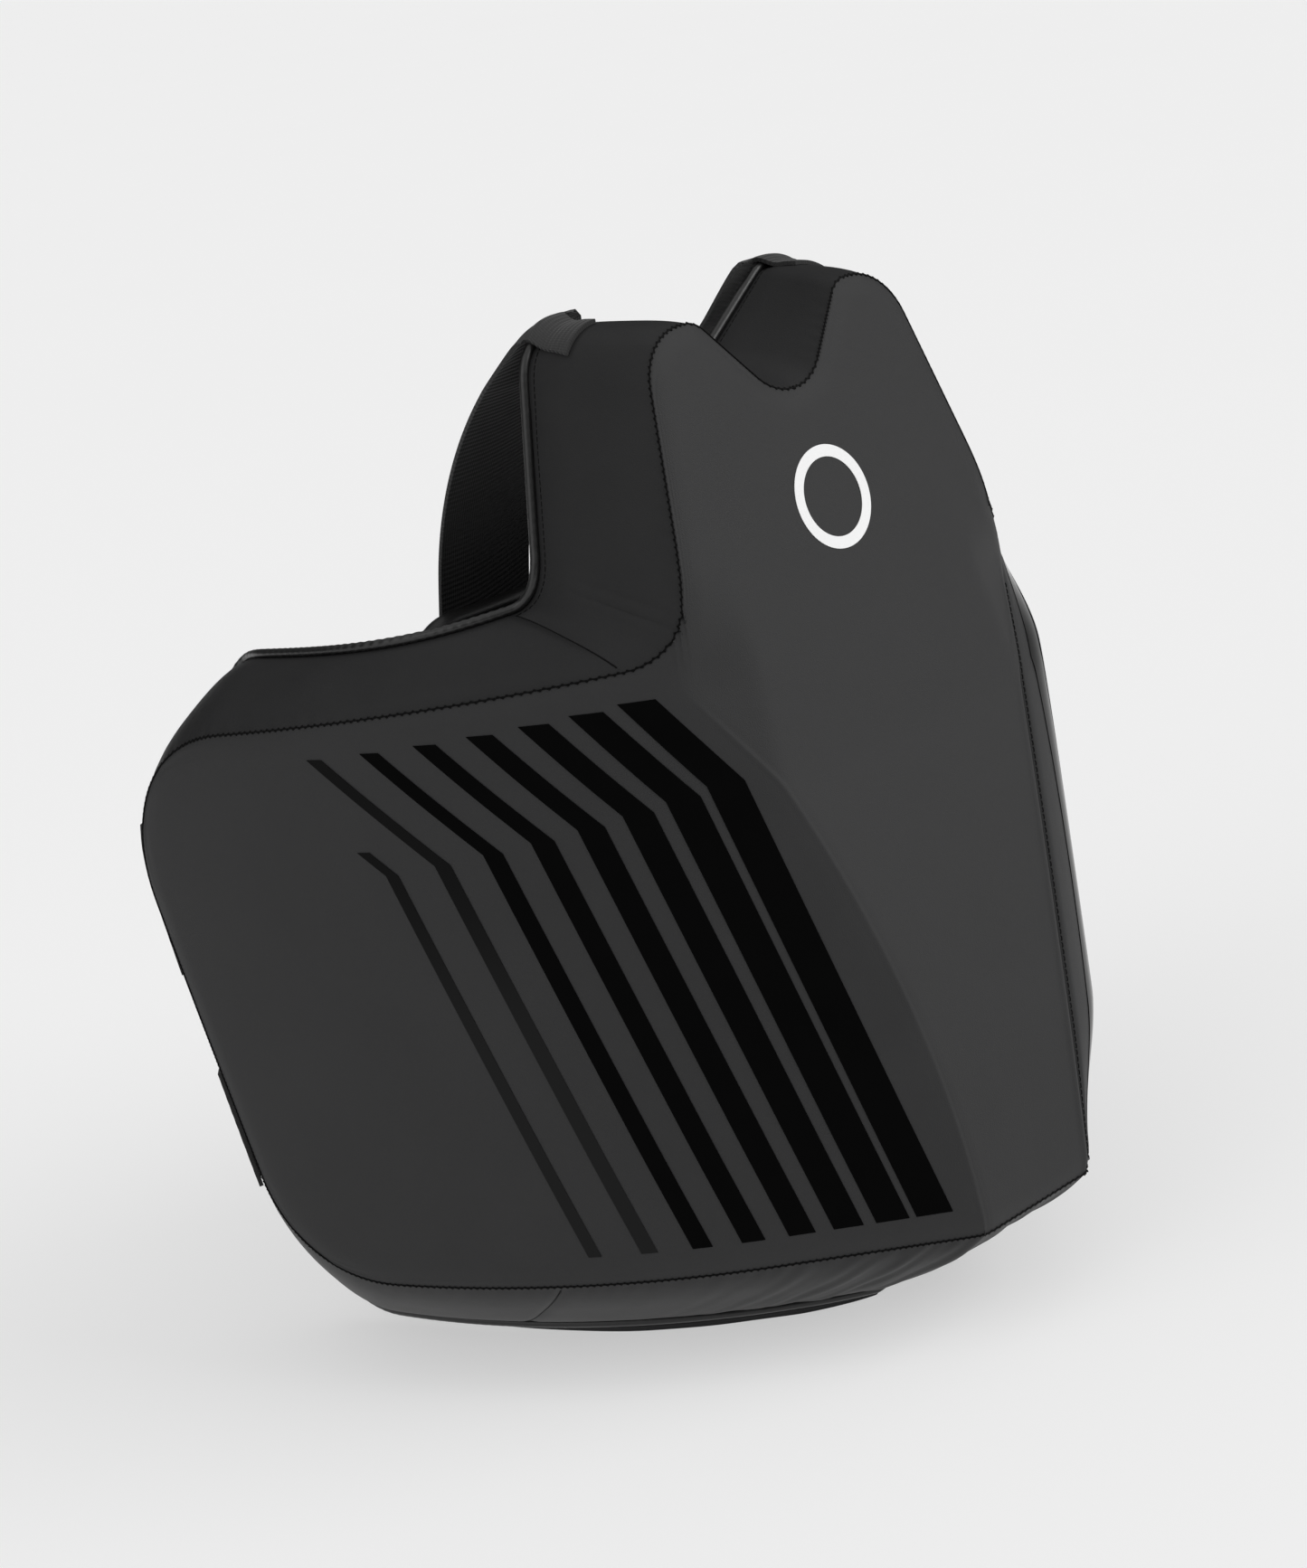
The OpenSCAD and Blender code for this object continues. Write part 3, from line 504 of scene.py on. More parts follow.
white_film = mottled("white_film", (0.86, 0.86, 0.86), 0.45, 0.02, 0.04, 18.0)
speck = pattern(white_film, "ShaderNodeTexNoise", "Object", Scale=900.0)
relief(white_film, [(speck.outputs["Fac"], 0.1, 0.0001)])
seam_thread = mottled("seam_thread", (0.0015, 0.0015, 0.0015), 0.6, 0.3, 0.1, 400.0, Specular_IOR_Level=0.1)

# %% [markdown]
# Woven straps show cross ribs about 1.6 mm apart. The lining is a fine knit, and the fastening has a hairy
# loop side and a bristly hook side. The weaves use the sheet's own lengths, so they run along each strap.

# %% Woven and hairy finishes
webbing = mottled("ribbed_webbing", (0.010, 0.010, 0.010), 0.72, 0.2, 0.06, 60.0, Sheen_Weight=0.12)
ribs = pattern(webbing, "ShaderNodeTexWave", "UV", Scale=100.0, bands_direction="Y")
yarns = pattern(webbing, "ShaderNodeTexWave", "UV", Scale=190.0, bands_direction="X")
relief(webbing, [(ribs.outputs["Fac"], 0.8, 0.0005), (yarns.outputs["Fac"], 0.4, 0.0002)])

knit = mottled("knit_lining", (0.009, 0.009, 0.0095), 0.85, 0.15, 0.05, 40.0, Sheen_Weight=0.2)
wales = pattern(knit, "ShaderNodeTexWave", "UV", Scale=240.0, bands_direction="X")
courses = pattern(knit, "ShaderNodeTexWave", "UV", Scale=180.0, bands_direction="Y")
relief(knit, [(wales.outputs["Fac"], 0.5, 0.0003), (courses.outputs["Fac"], 0.4, 0.0003)])

loop_pile = finish_of("loop_pile", (0.011, 0.011, 0.011), 0.95, Sheen_Weight=0.5, Sheen_Roughness=0.4)
mottle(loop_pile, (0.011, 0.011, 0.011), 0.35, 0.93, 0.05, 220.0)
fuzz = pattern(loop_pile, "ShaderNodeTexNoise", "Object", Scale=1300.0, Detail=3.0)
relief(loop_pile, [(fuzz.outputs["Fac"], 0.9, 0.0008)])

hook_tape = mottled("hook_tape", (0.008, 0.008, 0.008), 0.6, 0.2, 0.08, 200.0)
bristles = pattern(hook_tape, "ShaderNodeTexVoronoi", "Object", Scale=750.0)
relief(hook_tape, [(bristles.outputs["Distance"], 1.0, 0.0008)])
print("finishes:", len(bpy.data.materials))

# %% Put the cover on
front_cover = sheet_mesh("front_cover", cover, cover - normals(cover) * cover_t, cover_leather)
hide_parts("front_cover", "chest_foam", "belly_foam", "side_foam_right", "side_foam_left")
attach(front_cover, "vest")
print("cover mesh:", len(front_cover.data.vertices), "points")

# %% [markdown]
# ## Round the rim
# The side walls, the piping and the seams all follow the rim, so the rim is laid out once as a closed loop.
# It starts at the middle of the neckline and runs out over the right lobe.

# %% The rim as a loop
HALF, HIGH, MID = len(COLS) - 1, len(LEVELS) - 1, len(COLS) - 1


def loop_of(grid):
    return np.concatenate([grid[-1, MID:], grid[-2:0:-1, -1], grid[0, ::-1], grid[1:-1, 0], grid[-1, :MID]])


def inward(grid):
    step = np.concatenate([grid[-2, MID:] - grid[-1, MID:], (grid[:, -2] - grid[:, -1])[-2:0:-1],
                           (grid[1] - grid[0])[::-1], (grid[:, 1] - grid[:, 0])[1:-1], grid[-2, :MID] - grid[-1, :MID]])
    return unit(step)


outer_rim, body_rim = loop_of(cover), loop_of(lining)
outer_in, body_in = inward(cover), inward(lining)
TURNS = len(outer_rim)
arm_seam = int(np.searchsorted(COLS, CREASE + ROUND_ARM // 2))
hem_seam = HALF + HIGH + HALF - int(np.searchsorted(COLS, CREASE + 37))
hem_end = HALF + HIGH + HALF - int(np.searchsorted(COLS, LAST - 7))
bottom_mid = 2 * HALF + HIGH
print("rim of", TURNS, "points; seams at", arm_seam, hem_seam)


def stations(first, last, step):
    index = np.arange(first, last + 1)
    run = np.linalg.norm(np.diff(body_rim[index % TURNS], axis=0), axis=1)
    run = np.concatenate([[0], np.cumsum(run)])
    return np.interp(np.linspace(0, run[-1], max(int(run[-1] / step), 2)), run, index)


def at(values, where):
    low = np.floor(where).astype(int)
    part = (where - low)[:, None]
    return mix(values[low % TURNS], values[(low + 1) % TURNS], part)


# %% [markdown]
# ## Side walls
# A side wall is a strip of thinner, shinier leatherette, and the foam pushes it out into a shallow bulge. The
# short strip under the belly carries the weight of the pad and creases into small wrinkles near the front.

# %% Side walls
bulge, lobe_bulge, seam_dip, wall_steps = 6.0, 2.5, 1.6, 18


def wall_strip(where):
    o, b = at(outer_rim, where), at(body_rim, where)
    way = unit(np.gradient(o, axis=0) + np.gradient(b, axis=0))
    out = np.cross(way, unit(b - o))
    out *= np.sign((out * -(at(outer_in, where) + at(body_in, where))).sum(-1, keepdims=True))
    return o, b, unit(out)


def bulging(where, seams=()):
    o, b, out = wall_strip(where)
    f = np.linspace(0, 1, wall_steps + 1)[:, None, None]
    full = mix(bulge, lobe_bulge, ease((o[:, 2] - 520) / 60))[None, :, None]
    puff = full * (1 - np.abs(2 * f - 1) ** 3)
    run = np.concatenate([[0], np.cumsum(np.linalg.norm(np.diff(b, axis=0), axis=1))])
    for seam in seams:
        away = np.abs(run - np.interp(seam, where, run))[None, :, None]
        puff = puff - seam_dip * (1 - ramp(away / 7)) ** 2 * np.sqrt(np.maximum(4 * f * (1 - f), 0))
    ends = np.minimum(4 * f * (1 - f) * 1.6, 1)
    near_front = np.exp(-(((b[:, 0] + 25) / 95) ** 4))[None, :, None] * (b[:, 2] < 60)[None, :, None]
    x = b[:, 0][None, :, None]
    folds = np.sin(x / 2.1 + 5 * f) * 0.45 + np.sin(x / 3.7 - 7 * f + 1.3) * 0.5 + np.sin(x / 1.3 + 9 * f * f) * 0.2
    puckers = 0.22 * np.sin(run / 1.9 + 2 * np.sin(run / 13))[None, :, None] * np.exp(-f * 14)
    return mix(o, b, f) + out * (puff + ends * near_front * folds * 0.9 + puckers), out


def side_wall(name, first, last):
    where = stations(first, last, 1.6)
    outside, out = bulging(where, (first, last))
    piece = sheet_mesh(name, outside, outside - out * cover_t, side_leather)
    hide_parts(name)
    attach(piece, "vest")
    return outside


gusset_top = side_wall("upper_gusset", -arm_seam, arm_seam)
side_wall("side_gusset_right", arm_seam, hem_seam)
side_wall("side_gusset_left", TURNS - hem_seam, TURNS - arm_seam)
gusset_low = side_wall("bottom_gusset", hem_seam, TURNS - hem_seam)
print("side walls bulge", bulge, "mm")

# %% [markdown]
# ## Piping
# A cord wrapped in glossy leatherette finishes the edge next to the body. It sits in the corner between the
# side wall and the lining. The wrap gathers a little, most of all on the wing tops beside the armholes.

# %% Piping
tuck = 0.7


def piping_line(where):
    b, o = at(body_rim, where), at(outer_rim, where)
    way = unit(np.gradient(b, axis=0))
    w = unit(o - b) + at(body_in, where)
    u = unit((w * way).sum(-1, keepdims=True) * way - w)
    return b + (piping_d / 2 - tuck) * u, u


def piping(name, first, last):
    where = stations(first, last, 1.2)
    centre, u = piping_line(where)
    run = np.arange(len(where)) * 1.2
    gather = np.exp(-((np.minimum(abs(where - arm_seam), abs(TURNS - where - arm_seam)) / 40) ** 2))
    turn = 2 * math.pi * np.arange(14) / 14
    crimp = np.sin(run[:, None] / 0.95 + 1.4 * np.sin(turn) + 2 * np.sin(run[:, None] / 17))
    radius = piping_d / 2 * (0.97 + (0.012 + 0.06 * gather[:, None]) * crimp)
    piece = tube_mesh(name, centre, u, radius, piping_leather)
    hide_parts(name)
    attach(piece, "vest")


piping("upper_piping", -arm_seam, arm_seam)
piping("side_piping_right", arm_seam, hem_seam)
piping("side_piping_left", TURNS - hem_seam, TURNS - arm_seam)
piping("bottom_piping", hem_seam, TURNS - hem_seam)

# %% [markdown]
# ## Seam thread
# The cover is joined to the side walls with a zigzag stitch over a near-black line that is painted shade: the line
# stands in for the shadow along the seam. The stitch is real thread, because a bump pattern would vanish along the
# silhouette, where this seam is seen best.

# %% Zigzag thread round the front, over a painted seam shadow
seam_lift, seam_thick = 0.45, 0.42


def zigzag_and_seam_shade(name, first, last, pitch=3.4, reach=1.0):
    where = stations(first, last, pitch / 2)
    o, b, out = wall_strip(where)
    to_cover, to_wall = at(outer_in, where), unit(unit(b - o) + out * 0.5)
    side = (np.arange(len(where)) % 2)[:, None]
    lift = unit(out - unit(b - o)) * seam_lift
    stitch = o + lift + reach * (to_cover * side + to_wall * (1 - side))
    # The second thread line, laid close along the seam, is painted shade: a near-black tube that stands in for the
    # shadow in the seam.
    return thread_mesh(name, [stitch, o + lift * 0.6], seam_thick, seam_thread)


seam_stitch_and_shade_line = zigzag_and_seam_shade("front_seam_stitch", 0, TURNS)
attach(seam_stitch_and_shade_line, "vest")


def running(line, lift, pitch=4.0, share=0.72):
    """Single stitches along a line of points, each one a short thread that dips at both ends."""
    run = np.concatenate([[0], np.cumsum(np.linalg.norm(np.diff(line, axis=0), axis=1))])
    made = []
    for start in np.arange(0.5, run[-1] - pitch, pitch):
        d = np.array([0, 0.2, 0.8, 1]) * pitch * share + start
        p = np.stack([np.interp(d, run, line[:, k]) for k in range(3)], -1)
        h = np.stack([np.interp(d, run, lift[:, k]) for k in range(3)], -1)
        made.append(p + h * np.array([-0.2, 0.3, 0.3, -0.2])[:, None])
    return made


crease_count = 160
crease_z = np.linspace(hem_z + 6, corner_z - 12, crease_count)
crease_points = soft_face(crease_x(crease_z) + 1.0, crease_z, SEWN_WING)
crease_out = np.tile([0.35, -0.94, 0.0], (crease_count, 1))
crease_stitch = thread_mesh("crease_stitch", running(crease_points - crease_out * 0.6, crease_out), 0.4, seam_thread)
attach(crease_stitch, "vest")

# %% Cross seams of the side walls
cross_lines = [wall_sheet[1:-1, end] for wall_sheet in (gusset_top, gusset_low) for end in (0, -1)]
cross_seams = thread_mesh("cross_seams", cross_lines, 0.5, seam_thread)
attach(cross_seams, "vest")
top_edge = gusset_top[-2]
top_stitch = thread_mesh("top_edge_stitch", running(top_edge, np.tile([0, 0, 0.5], (len(top_edge), 1))), 0.3,
                         seam_thread)
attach(top_stitch, "vest")

# %% [markdown]
# ## Lining and its free border
# A knitted lining faces the wearer. Its lower border isn't sewn down: it passes behind the piping and hangs
# below it as a soft black strip, and the pad stands on it.

# %% Lining
body_lining = sheet_mesh("body_lining", lining, lining + normals(lining) * cover_t, knit)
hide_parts("body_lining")
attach(body_lining, "vest")

# %% The free border
hem_t, hem_sewn, hem_back, hem_gap = 1.2, 14.0, 5.4, 1.2


def border(where):
    b = at(body_rim, where)
    way = unit(np.gradient(b, axis=0))
    inn = at(body_in, where)
    inn = unit(inn - (inn * way).sum(-1, keepdims=True) * way)
    back = np.cross(way, inn)
    reach = np.abs(b[:, 0])
    cut_x = np.interp(COLS, np.arange(LAST + 1), body_edges[0][:, 0])
    p = np.interp(np.abs(where - bottom_mid), np.arange(HALF + 1.0), cut_x)
    rise = np.maximum(np.maximum(1 - p / hem_flat[0], (p - hem_flat[1]) / (p.max() - hem_flat[1])), 0)
    drop = b[:, 2] - rise ** 1.5 * (b[:, 2] - 1)
    wave = 0.5 * np.sin(reach / 11) + 0.3 * np.sin(b[:, 0] / 5.3)
    rows = []
    for share, height, away in ((1, 0, hem_back), (0.66, 0, hem_back), (0.33, 0, hem_back), (0, -1, hem_back - 0.2),
                                (0, 2.5, 3.4), (0, hem_sewn / 2, hem_gap), (0, hem_sewn, hem_gap)):
        q0 = (-drop * share + height)[:, None]
        c = b + inn * q0 / inn[:, 2:] + back * (away + wave * share * 0.6 + hem_t / 2)[:, None]
        c[:, 2] = b[:, 2] + q0[:, 0]
        rows.append(c)
    return np.array(rows)


hem_points = border(stations(hem_end, TURNS - hem_end, 2.0))
lining_hem = band_mesh("lining_hem", hem_points, hem_t, knit)
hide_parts("lining_hem")
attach(lining_hem, "vest")

# %% [markdown]
# ## Gloss stripes
# Eight strips of glossy film lie on each wing. They follow the wing's own surface at a hair's height. The two rear ones
# are lighter and duller in their lower halves, so their film fades from gloss to dull by height.

# %% Stripes
stripe_first, stripe_pitch, stripe_grow, stripe_wide, stripe_taper, stripe_shift = 18, 25, 1.3, 21, 1.9, 82
stripe_margin, bend_z, bend_drop, leg_lean, lean_grow = 19, 361, 5, 0.8, 0.045
full_stripes, end_drop, short_leg = 7, 3, 14
film_t, film_gap, stripe_count = 0.25, 0.12, 8


def stripe_grid(k, wing):
    bend = bend_z - bend_drop * k
    end = arm_z - stripe_margin - end_drop * k if k < full_stripes else bend + short_leg
    z = np.linspace(hem_z + stripe_margin, end, 90)
    z = np.sort(np.append(z, bend))
    lower = stripe_shift * (z - hem_z - stripe_margin) / (bend - hem_z - stripe_margin)
    lean = np.where(z < bend, lower, stripe_shift + (z - bend) * (leg_lean + lean_grow * k))
    start = stripe_first + k * stripe_pitch + stripe_grow * k * (k - 1) / 2
    s = start + lean[:, None] + np.linspace(0, stripe_wide - stripe_taper * k, 7)[None]
    tall = np.broadcast_to(z[:, None], s.shape)
    proud = swell(s - crease_s(tall), tall, wing)
    return [np.stack([*wall(s, -d - proud), tall], -1) for d in (film_gap + film_t, film_gap)]


def stripes(name, side):
    parts = []
    for k in range(stripe_count):
        over, under = stripe_grid(k, SEWN_WING if side > 0 else SOFT_WING)
        if side < 0:
            over, under = mirrored(over), mirrored(under)
        parts.append(sheet_mesh(f"{name}.{k}", over, under, gloss_film if k < 6 else lower_dull_film))
    for part in parts:
        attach(part, "vest")
    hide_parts(name)


stripes("stripes_right", 1)
stripes("stripes_left", -1)

# %% Plain white ring on the chest
mark_d, mark_line, mark_z = 60, 7, 489
turn = np.linspace(0, 2 * math.pi, 129)
radii = np.linspace(mark_d / 2 - mark_line, mark_d / 2, 5)
ring_x = np.sin(turn)[None] * radii[:, None]
ring_z = mark_z + np.cos(turn)[None] * radii[:, None] * math.cos(math.radians(chest_lean))
ring = np.stack([ring_x, front_y(ring_z), ring_z], -1)
chest_out = np.array([0, -math.cos(math.radians(chest_lean)), math.sin(math.radians(chest_lean))])
chest_mark = sheet_mesh("chest_mark", ring + chest_out * 0.45, ring + chest_out * 0.15, white_film)
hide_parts("chest_mark")
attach(chest_mark, "vest")

# %% [markdown]
# ## The back
# The back panel hangs in its own leaning frame behind the wearer: depth runs out of its rear face, and down
# runs along it. One function turns those into places, and every back piece uses it.

# %% The back's own frame
shoulder_w, shoulder_x, shoulder_r, back_lean, panel_w, panel_drop, panel_below = 72, 90, 223, 12, 304, 20, 12
panel_t, panel_r, binding_w, patch_t, start_angle, swing_clear, start_drop = 12, 28, 4, 1, 52, 7, 16
upper_w, upper_z, lower_w, lower_z, strap_tip, hook_len, strap_clear, hinge_in = 92, 302, 70, 160, 34, 78, 18, 4
inner_r = shoulder_r - strap_t
panel_rear = inner_r - layer_gap
curve_y = body_y(lobe_top) + piping_d + swing_clear - inner_r * math.cos(math.radians(start_angle))
curve_z = lobe_top + lobe_rise - start_drop - inner_r * math.sin(math.radians(start_angle))
lean_c, lean_s = math.cos(math.radians(back_lean)), math.sin(math.radians(back_lean))


def on_back(x, depth, down):
    x, depth, down = np.broadcast_arrays(np.asarray(x, float), depth, down)
    return np.stack([x, curve_y + depth * lean_c + down * lean_s, curve_z + depth * lean_s - down * lean_c], -1)


def down_at(z, depth):
    return (curve_z + depth * lean_s - z) / lean_c


panel_h = down_at(lower_z - lower_w / 2 - panel_below, panel_rear) - panel_drop
strap_end = down_at(upper_z + upper_w / 2 + strap_clear, panel_rear)
print("back panel", panel_w, "by", round(panel_h, 1), "mm")


# %% [markdown]
# The panel is a thin cushion: foam between a leatherette rear and a velvety front, closed by a binding tape.
# It is built as rings that shrink from the outline to the middle, so that it can crown softly.

# %% Panel pieces
def rounded_outline(w, h, r, top, per_corner=14, per_side=40):
    cx, cz = w / 2 - r, h / 2 - r
    pts = []
    for k, (sx, sz) in enumerate(((1, 1), (1, -1), (-1, -1), (-1, 1))):
        a = math.pi / 2 - k * math.pi / 2 - np.linspace(0, math.pi / 2, per_corner)
        arc = np.stack([sx * cx + r * np.cos(a), sz * cz + r * np.sin(a)], -1)
        nx, nz = ((1, -1), (-1, -1), (-1, 1), (1, 1))[k]
        after = np.array([nx * cx + r * math.cos(a[-1]), nz * cz + r * math.sin(a[-1])])
        pts += [arc, arc[-1] + (after - arc[-1]) * np.linspace(0, 1, per_side + 1)[1:-1, None]]
    out = np.concatenate(pts)
    return np.stack([out[:, 0], top + h / 2 - out[:, 1]], -1)


def cushion(name, outline, rear, front_depth, rear_crown, front_crown, material, edge_round):
    middle, shares = outline.mean(0), np.array([0, 0.12, 0.3, 0.5, 0.68, 0.8, 0.88, 0.94, 0.975, 1.0])
    verts, faces, n = [], [], len(outline)
    for depth, crown, way in ((rear, rear_crown, 1), (front_depth, front_crown, -1)):
        for share in shares[1:]:
            q = middle + (outline - middle) * share
            d = depth + way * (crown * (1 - share ** 2) - edge_round * ramp((share - 0.94) / 0.06) ** 2)
            verts.append(on_back(q[:, 0], d, q[:, 1]))
    verts = np.concatenate(verts + [on_back([middle[0]], rear + rear_crown, middle[1]),
                                    on_back([middle[0]], front_depth - front_crown, middle[1])])
    m = len(shares) - 1
    for side in range(2):
        base, centre = side * m * n, 2 * m * n + side
        for k in range(n):
            tri = (centre, base + k, base + (k + 1) % n)
            faces.append(tri if side else tri[::-1])
            for r in range(m - 1):
                a, b = base + r * n, base + (r + 1) * n
                quad = (a + k, b + k, b + (k + 1) % n, a + (k + 1) % n)
                faces.append(quad if side else quad[::-1])
    a, b = (m - 1) * n, (2 * m - 1) * n
    faces += [(a + k, b + k, b + (k + 1) % n, a + (k + 1) % n)[::-1] for k in range(n)]
    return put(name, verts, faces, material, verts[:, [0, 2]] / 1000)


panel_outline = rounded_outline(panel_w, panel_h, panel_r, panel_drop)
back_pad = cushion("back_pad", panel_outline, panel_rear, panel_rear - panel_t, 0, 0, side_leather, 1.5)
back_lining = cushion("back_lining", panel_outline, panel_rear - panel_t - layer_gap,
                      panel_rear - panel_t - layer_gap - patch_t, 0, 1.5, loop_pile, 0.2)
loop_top = strap_end + strap_clear / 3
loop_h = panel_drop + panel_h - 8 - loop_top
loop_panel = cushion("loop_panel", rounded_outline(panel_w - 16, loop_h, 12, loop_top),
                     panel_rear + layer_gap + patch_t, panel_rear + layer_gap, 0, 0, loop_pile, 0.2)
for piece, name, slot_name in ((back_pad, "back_pad", "side_wall"), (back_lining, "back_lining", "lining"),
                               (loop_panel, "loop_panel", "loop_field")):
    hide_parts(name)
    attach(piece, "back")

# %% Binding tape round the panel
bind_depth = panel_rear - (panel_t + layer_gap + patch_t) / 2
centre_line = on_back(panel_outline[:, 0], bind_depth, panel_outline[:, 1])
rearward = on_back(0, 1, 0) - on_back(0, 0, 0)
turn = 2 * math.pi * np.arange(20) / 20
flatness = 1 / np.sqrt((np.cos(turn) / ((panel_t + 1.1) / 2 + 0.9)) ** 2 + (np.sin(turn) / binding_w) ** 2)
back_binding = tube_mesh("back_binding", centre_line, np.tile(rearward, (len(centre_line), 1)),
                         np.tile(flatness, (len(centre_line), 1)), binding_leather, 20, True)
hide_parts("back_binding")
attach(back_binding, "back")


# %% [markdown]
# ## Shoulder straps
# Each shoulder strap is one length of webbing. It is sewn on top of a lobe, goes over the piping, curves down behind
# the shoulder and is sewn to the panel. It crosses the joint between vest and back, and its mesh is attached to neither
# of them.

# %% Shoulder straps
def smooth_path(points, step=3.0):
    """A rounded line through rows of points (along, across, xyz), with a point every few millimetres."""
    p = np.concatenate([2 * points[:1] - points[1:2], points, 2 * points[-1:] - points[-2:-1]])
    made = []
    for k in range(1, len(p) - 2):
        n = max(int(np.linalg.norm(p[k + 1] - p[k], axis=-1).max() / step), 1)
        for t in np.arange(n) / n:
            made.append(0.5 * (2 * p[k] + (p[k + 1] - p[k - 1]) * t
                               + (2 * p[k - 1] - 5 * p[k] + 4 * p[k + 1] - p[k + 2]) * t ** 2
                               + (3 * p[k] - p[k - 1] - 3 * p[k + 1] + p[k + 2]) * t ** 3))
    return np.array(made + [p[-2]])


right_top = stations(0, arm_seam, 1.5)
top_surface, top_out = bulging(right_top)
top_piping, _ = piping_line(right_top)
tab_x = (lobe_in + lobe_in_flare + lobe_out + lobe_out_flare) / 2


def shoulder_path(across):
    rows = []
    for f in range(12, wall_steps - 1, 2):
        x = tab_x + across * 0.38
        line, out = top_surface[f], top_out
        p = np.stack([np.interp(x, line[:, 0], line[:, k]) for k in range(3)], -1)
        n = np.stack([np.interp(x, line[:, 0], out[:, k]) for k in range(3)], -1)
        rows.append(p + n * (strap_t / 2 + 0.2))
    x = tab_x + across * 0.42
    cy, cz = (np.interp(x, top_piping[:, 0], top_piping[:, k]) for k in (1, 2))
    for angle, share, spread in ((95, 0.44, 0.05), (60, 0.56, 0.25), (25, 0.78, 0.6)):
        r, a = piping_d / 2 + strap_t / 2 + 0.7, math.radians(angle)
        x = mix(tab_x, shoulder_x, spread) + across * share
        rows.append(np.stack([x, cy + r * math.cos(a), cz + r * math.sin(a)], -1))
    r = shoulder_r - strap_t / 2
    for a in np.radians(np.linspace(start_angle - 4, back_lean, 14)):
        place = (shoulder_x + across, curve_y + r * math.cos(a), curve_z + r * math.sin(a))
        rows.append(np.stack(np.broadcast_arrays(*place), -1))
    for down in np.linspace(20, strap_end, 4):
        rows.append(on_back(shoulder_x + across, r, down))
    return smooth_path(np.array(rows))


across = np.linspace(-shoulder_w / 2, shoulder_w / 2, 15)
for side, word in ((1, "right"), (-1, "left")):
    path = shoulder_path(across)
    path = path if side > 0 else mirrored(path)
    strap = band_mesh(f"shoulder_strap_{word}", path, strap_t, webbing)
    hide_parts(f"shoulder_strap_{word}", f"shoulder_tab_{word}")
    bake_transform(strap)
print("shoulder strap", round(float(np.linalg.norm(np.diff(path[:, 7], axis=0), axis=1).sum())), "mm long")

# %% [markdown]
# ## Waist straps
# A waist strap is sewn across the wing's rear wall, passes over the piping and reaches the panel, where a
# patch of hooks at its end holds on the loop field.

# %% Waist straps
rear_where = stations(arm_seam, hem_seam, 2.0)
rear_surface, rear_out = bulging(rear_where)
is_rear = (rear_where > HALF - 20) & (rear_where < HALF + HIGH + 20)


def at_height(line, z):
    order = np.argsort(line[is_rear][:, 2])
    rows = line[is_rear][order]
    return rows, np.interp(z, rows[:, 2], np.arange(len(rows)))


def pick(line, z, values):
    rows, index = at_height(line, z)
    chosen = values[is_rear][np.argsort(line[is_rear][:, 2])]
    return np.stack([np.interp(index, np.arange(len(rows)), chosen[:, k]) for k in range(3)], -1)


strap_depth = panel_rear + 2 * layer_gap + patch_t + 0.3 + patch_t + layer_gap
touch_x = strap_tip + hook_len
rear_rim = at(body_rim, rear_where)
seam_point = pick(rear_rim, np.array([upper_z]), rear_rim)[0]
hinge_x, hinge_y = seam_point[0] - hinge_in, seam_point[1] + piping_d + hinge_clear


def free_strap(x, z, depth):
    at_touch = on_back(touch_x, depth, down_at(z, depth))
    t = ramp((x - touch_x) / (hinge_x - touch_x))
    flat = on_back(np.full_like(z, x), depth, down_at(z, depth))
    y = flat[:, 1] if x <= touch_x else mix(at_touch[:, 1], hinge_y + depth - strap_depth, t * t * (2 - t))
    return np.stack([np.full_like(z, x), y, z], -1)


def waist_path(z0, w):
    z = z0 + w * np.linspace(-0.5, 0.5, 19)
    rows = []
    for f in range(1, wall_steps, 2):
        p = pick(rear_surface[f], z, rear_surface[f])
        p[:, 2] = z
        rows.append(p + pick(rear_surface[f], z, rear_out) * (strap_t / 2 + 0.8))
    for x in np.concatenate([np.linspace(hinge_x, touch_x, 12), np.linspace(touch_x, strap_tip, 6)[1:]]):
        rows.append(free_strap(x, z, strap_depth + strap_t / 2))
    return smooth_path(np.array(rows), 4.0)


for level, z0, w in (("upper", upper_z, upper_w), ("lower", lower_z, lower_w)):
    for side, word in ((1, "right"), (-1, "left")):
        path = waist_path(z0, w)
        x = np.linspace(strap_tip + 4, touch_x - 4, 20)
        z = np.linspace(z0 - w / 2 + 4, z0 + w / 2 - 4, 15)
        patch = [np.array([free_strap(k, z, strap_depth - layer_gap - d) for k in x]) for d in (0.0, patch_t)]
        if side < 0:
            path, patch = mirrored(path), [mirrored(q) for q in patch]
        name = f"waist_strap_{level}_{word}"
        strap = band_mesh(name, path, strap_t, webbing)
        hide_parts(name, f"strap_base_{level}_{word}")
        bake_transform(strap)
        hooks = sheet_mesh(f"hook_patch_{level}_{word}", patch[0], patch[1], hook_tape)
        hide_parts(f"hook_patch_{level}_{word}")
        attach(hooks, name)
print("hinge of the waist straps at", round(hinge_x, 1), round(hinge_y, 1))

# %% Box stitches on the strap ends
box_margin, box_tall, stitch_pitch, stitch_r = 4, 34, 3.6, 0.28


def stitched_box(surface, corners, lift):
    line = np.concatenate([surface(np.array(a), np.array(b)) for a, b in zip(corners, corners[1:] + corners[:1])])
    return running(line, np.tile(lift, (len(line), 1)), stitch_pitch)


web_thread = mottled("web_thread", (0.035, 0.035, 0.035), 0.7, 0.2, 0.05, 300.0)
out_of_back = rearward * 0.35
hooked, hung = strap_depth + strap_t + 0.15, shoulder_r + 0.15


def straight(depth):
    def surface(a, b):
        q = a + (b - a) * np.linspace(0, 1, 40)[:, None]
        return on_back(q[:, 0], depth, q[:, 1])
    return surface


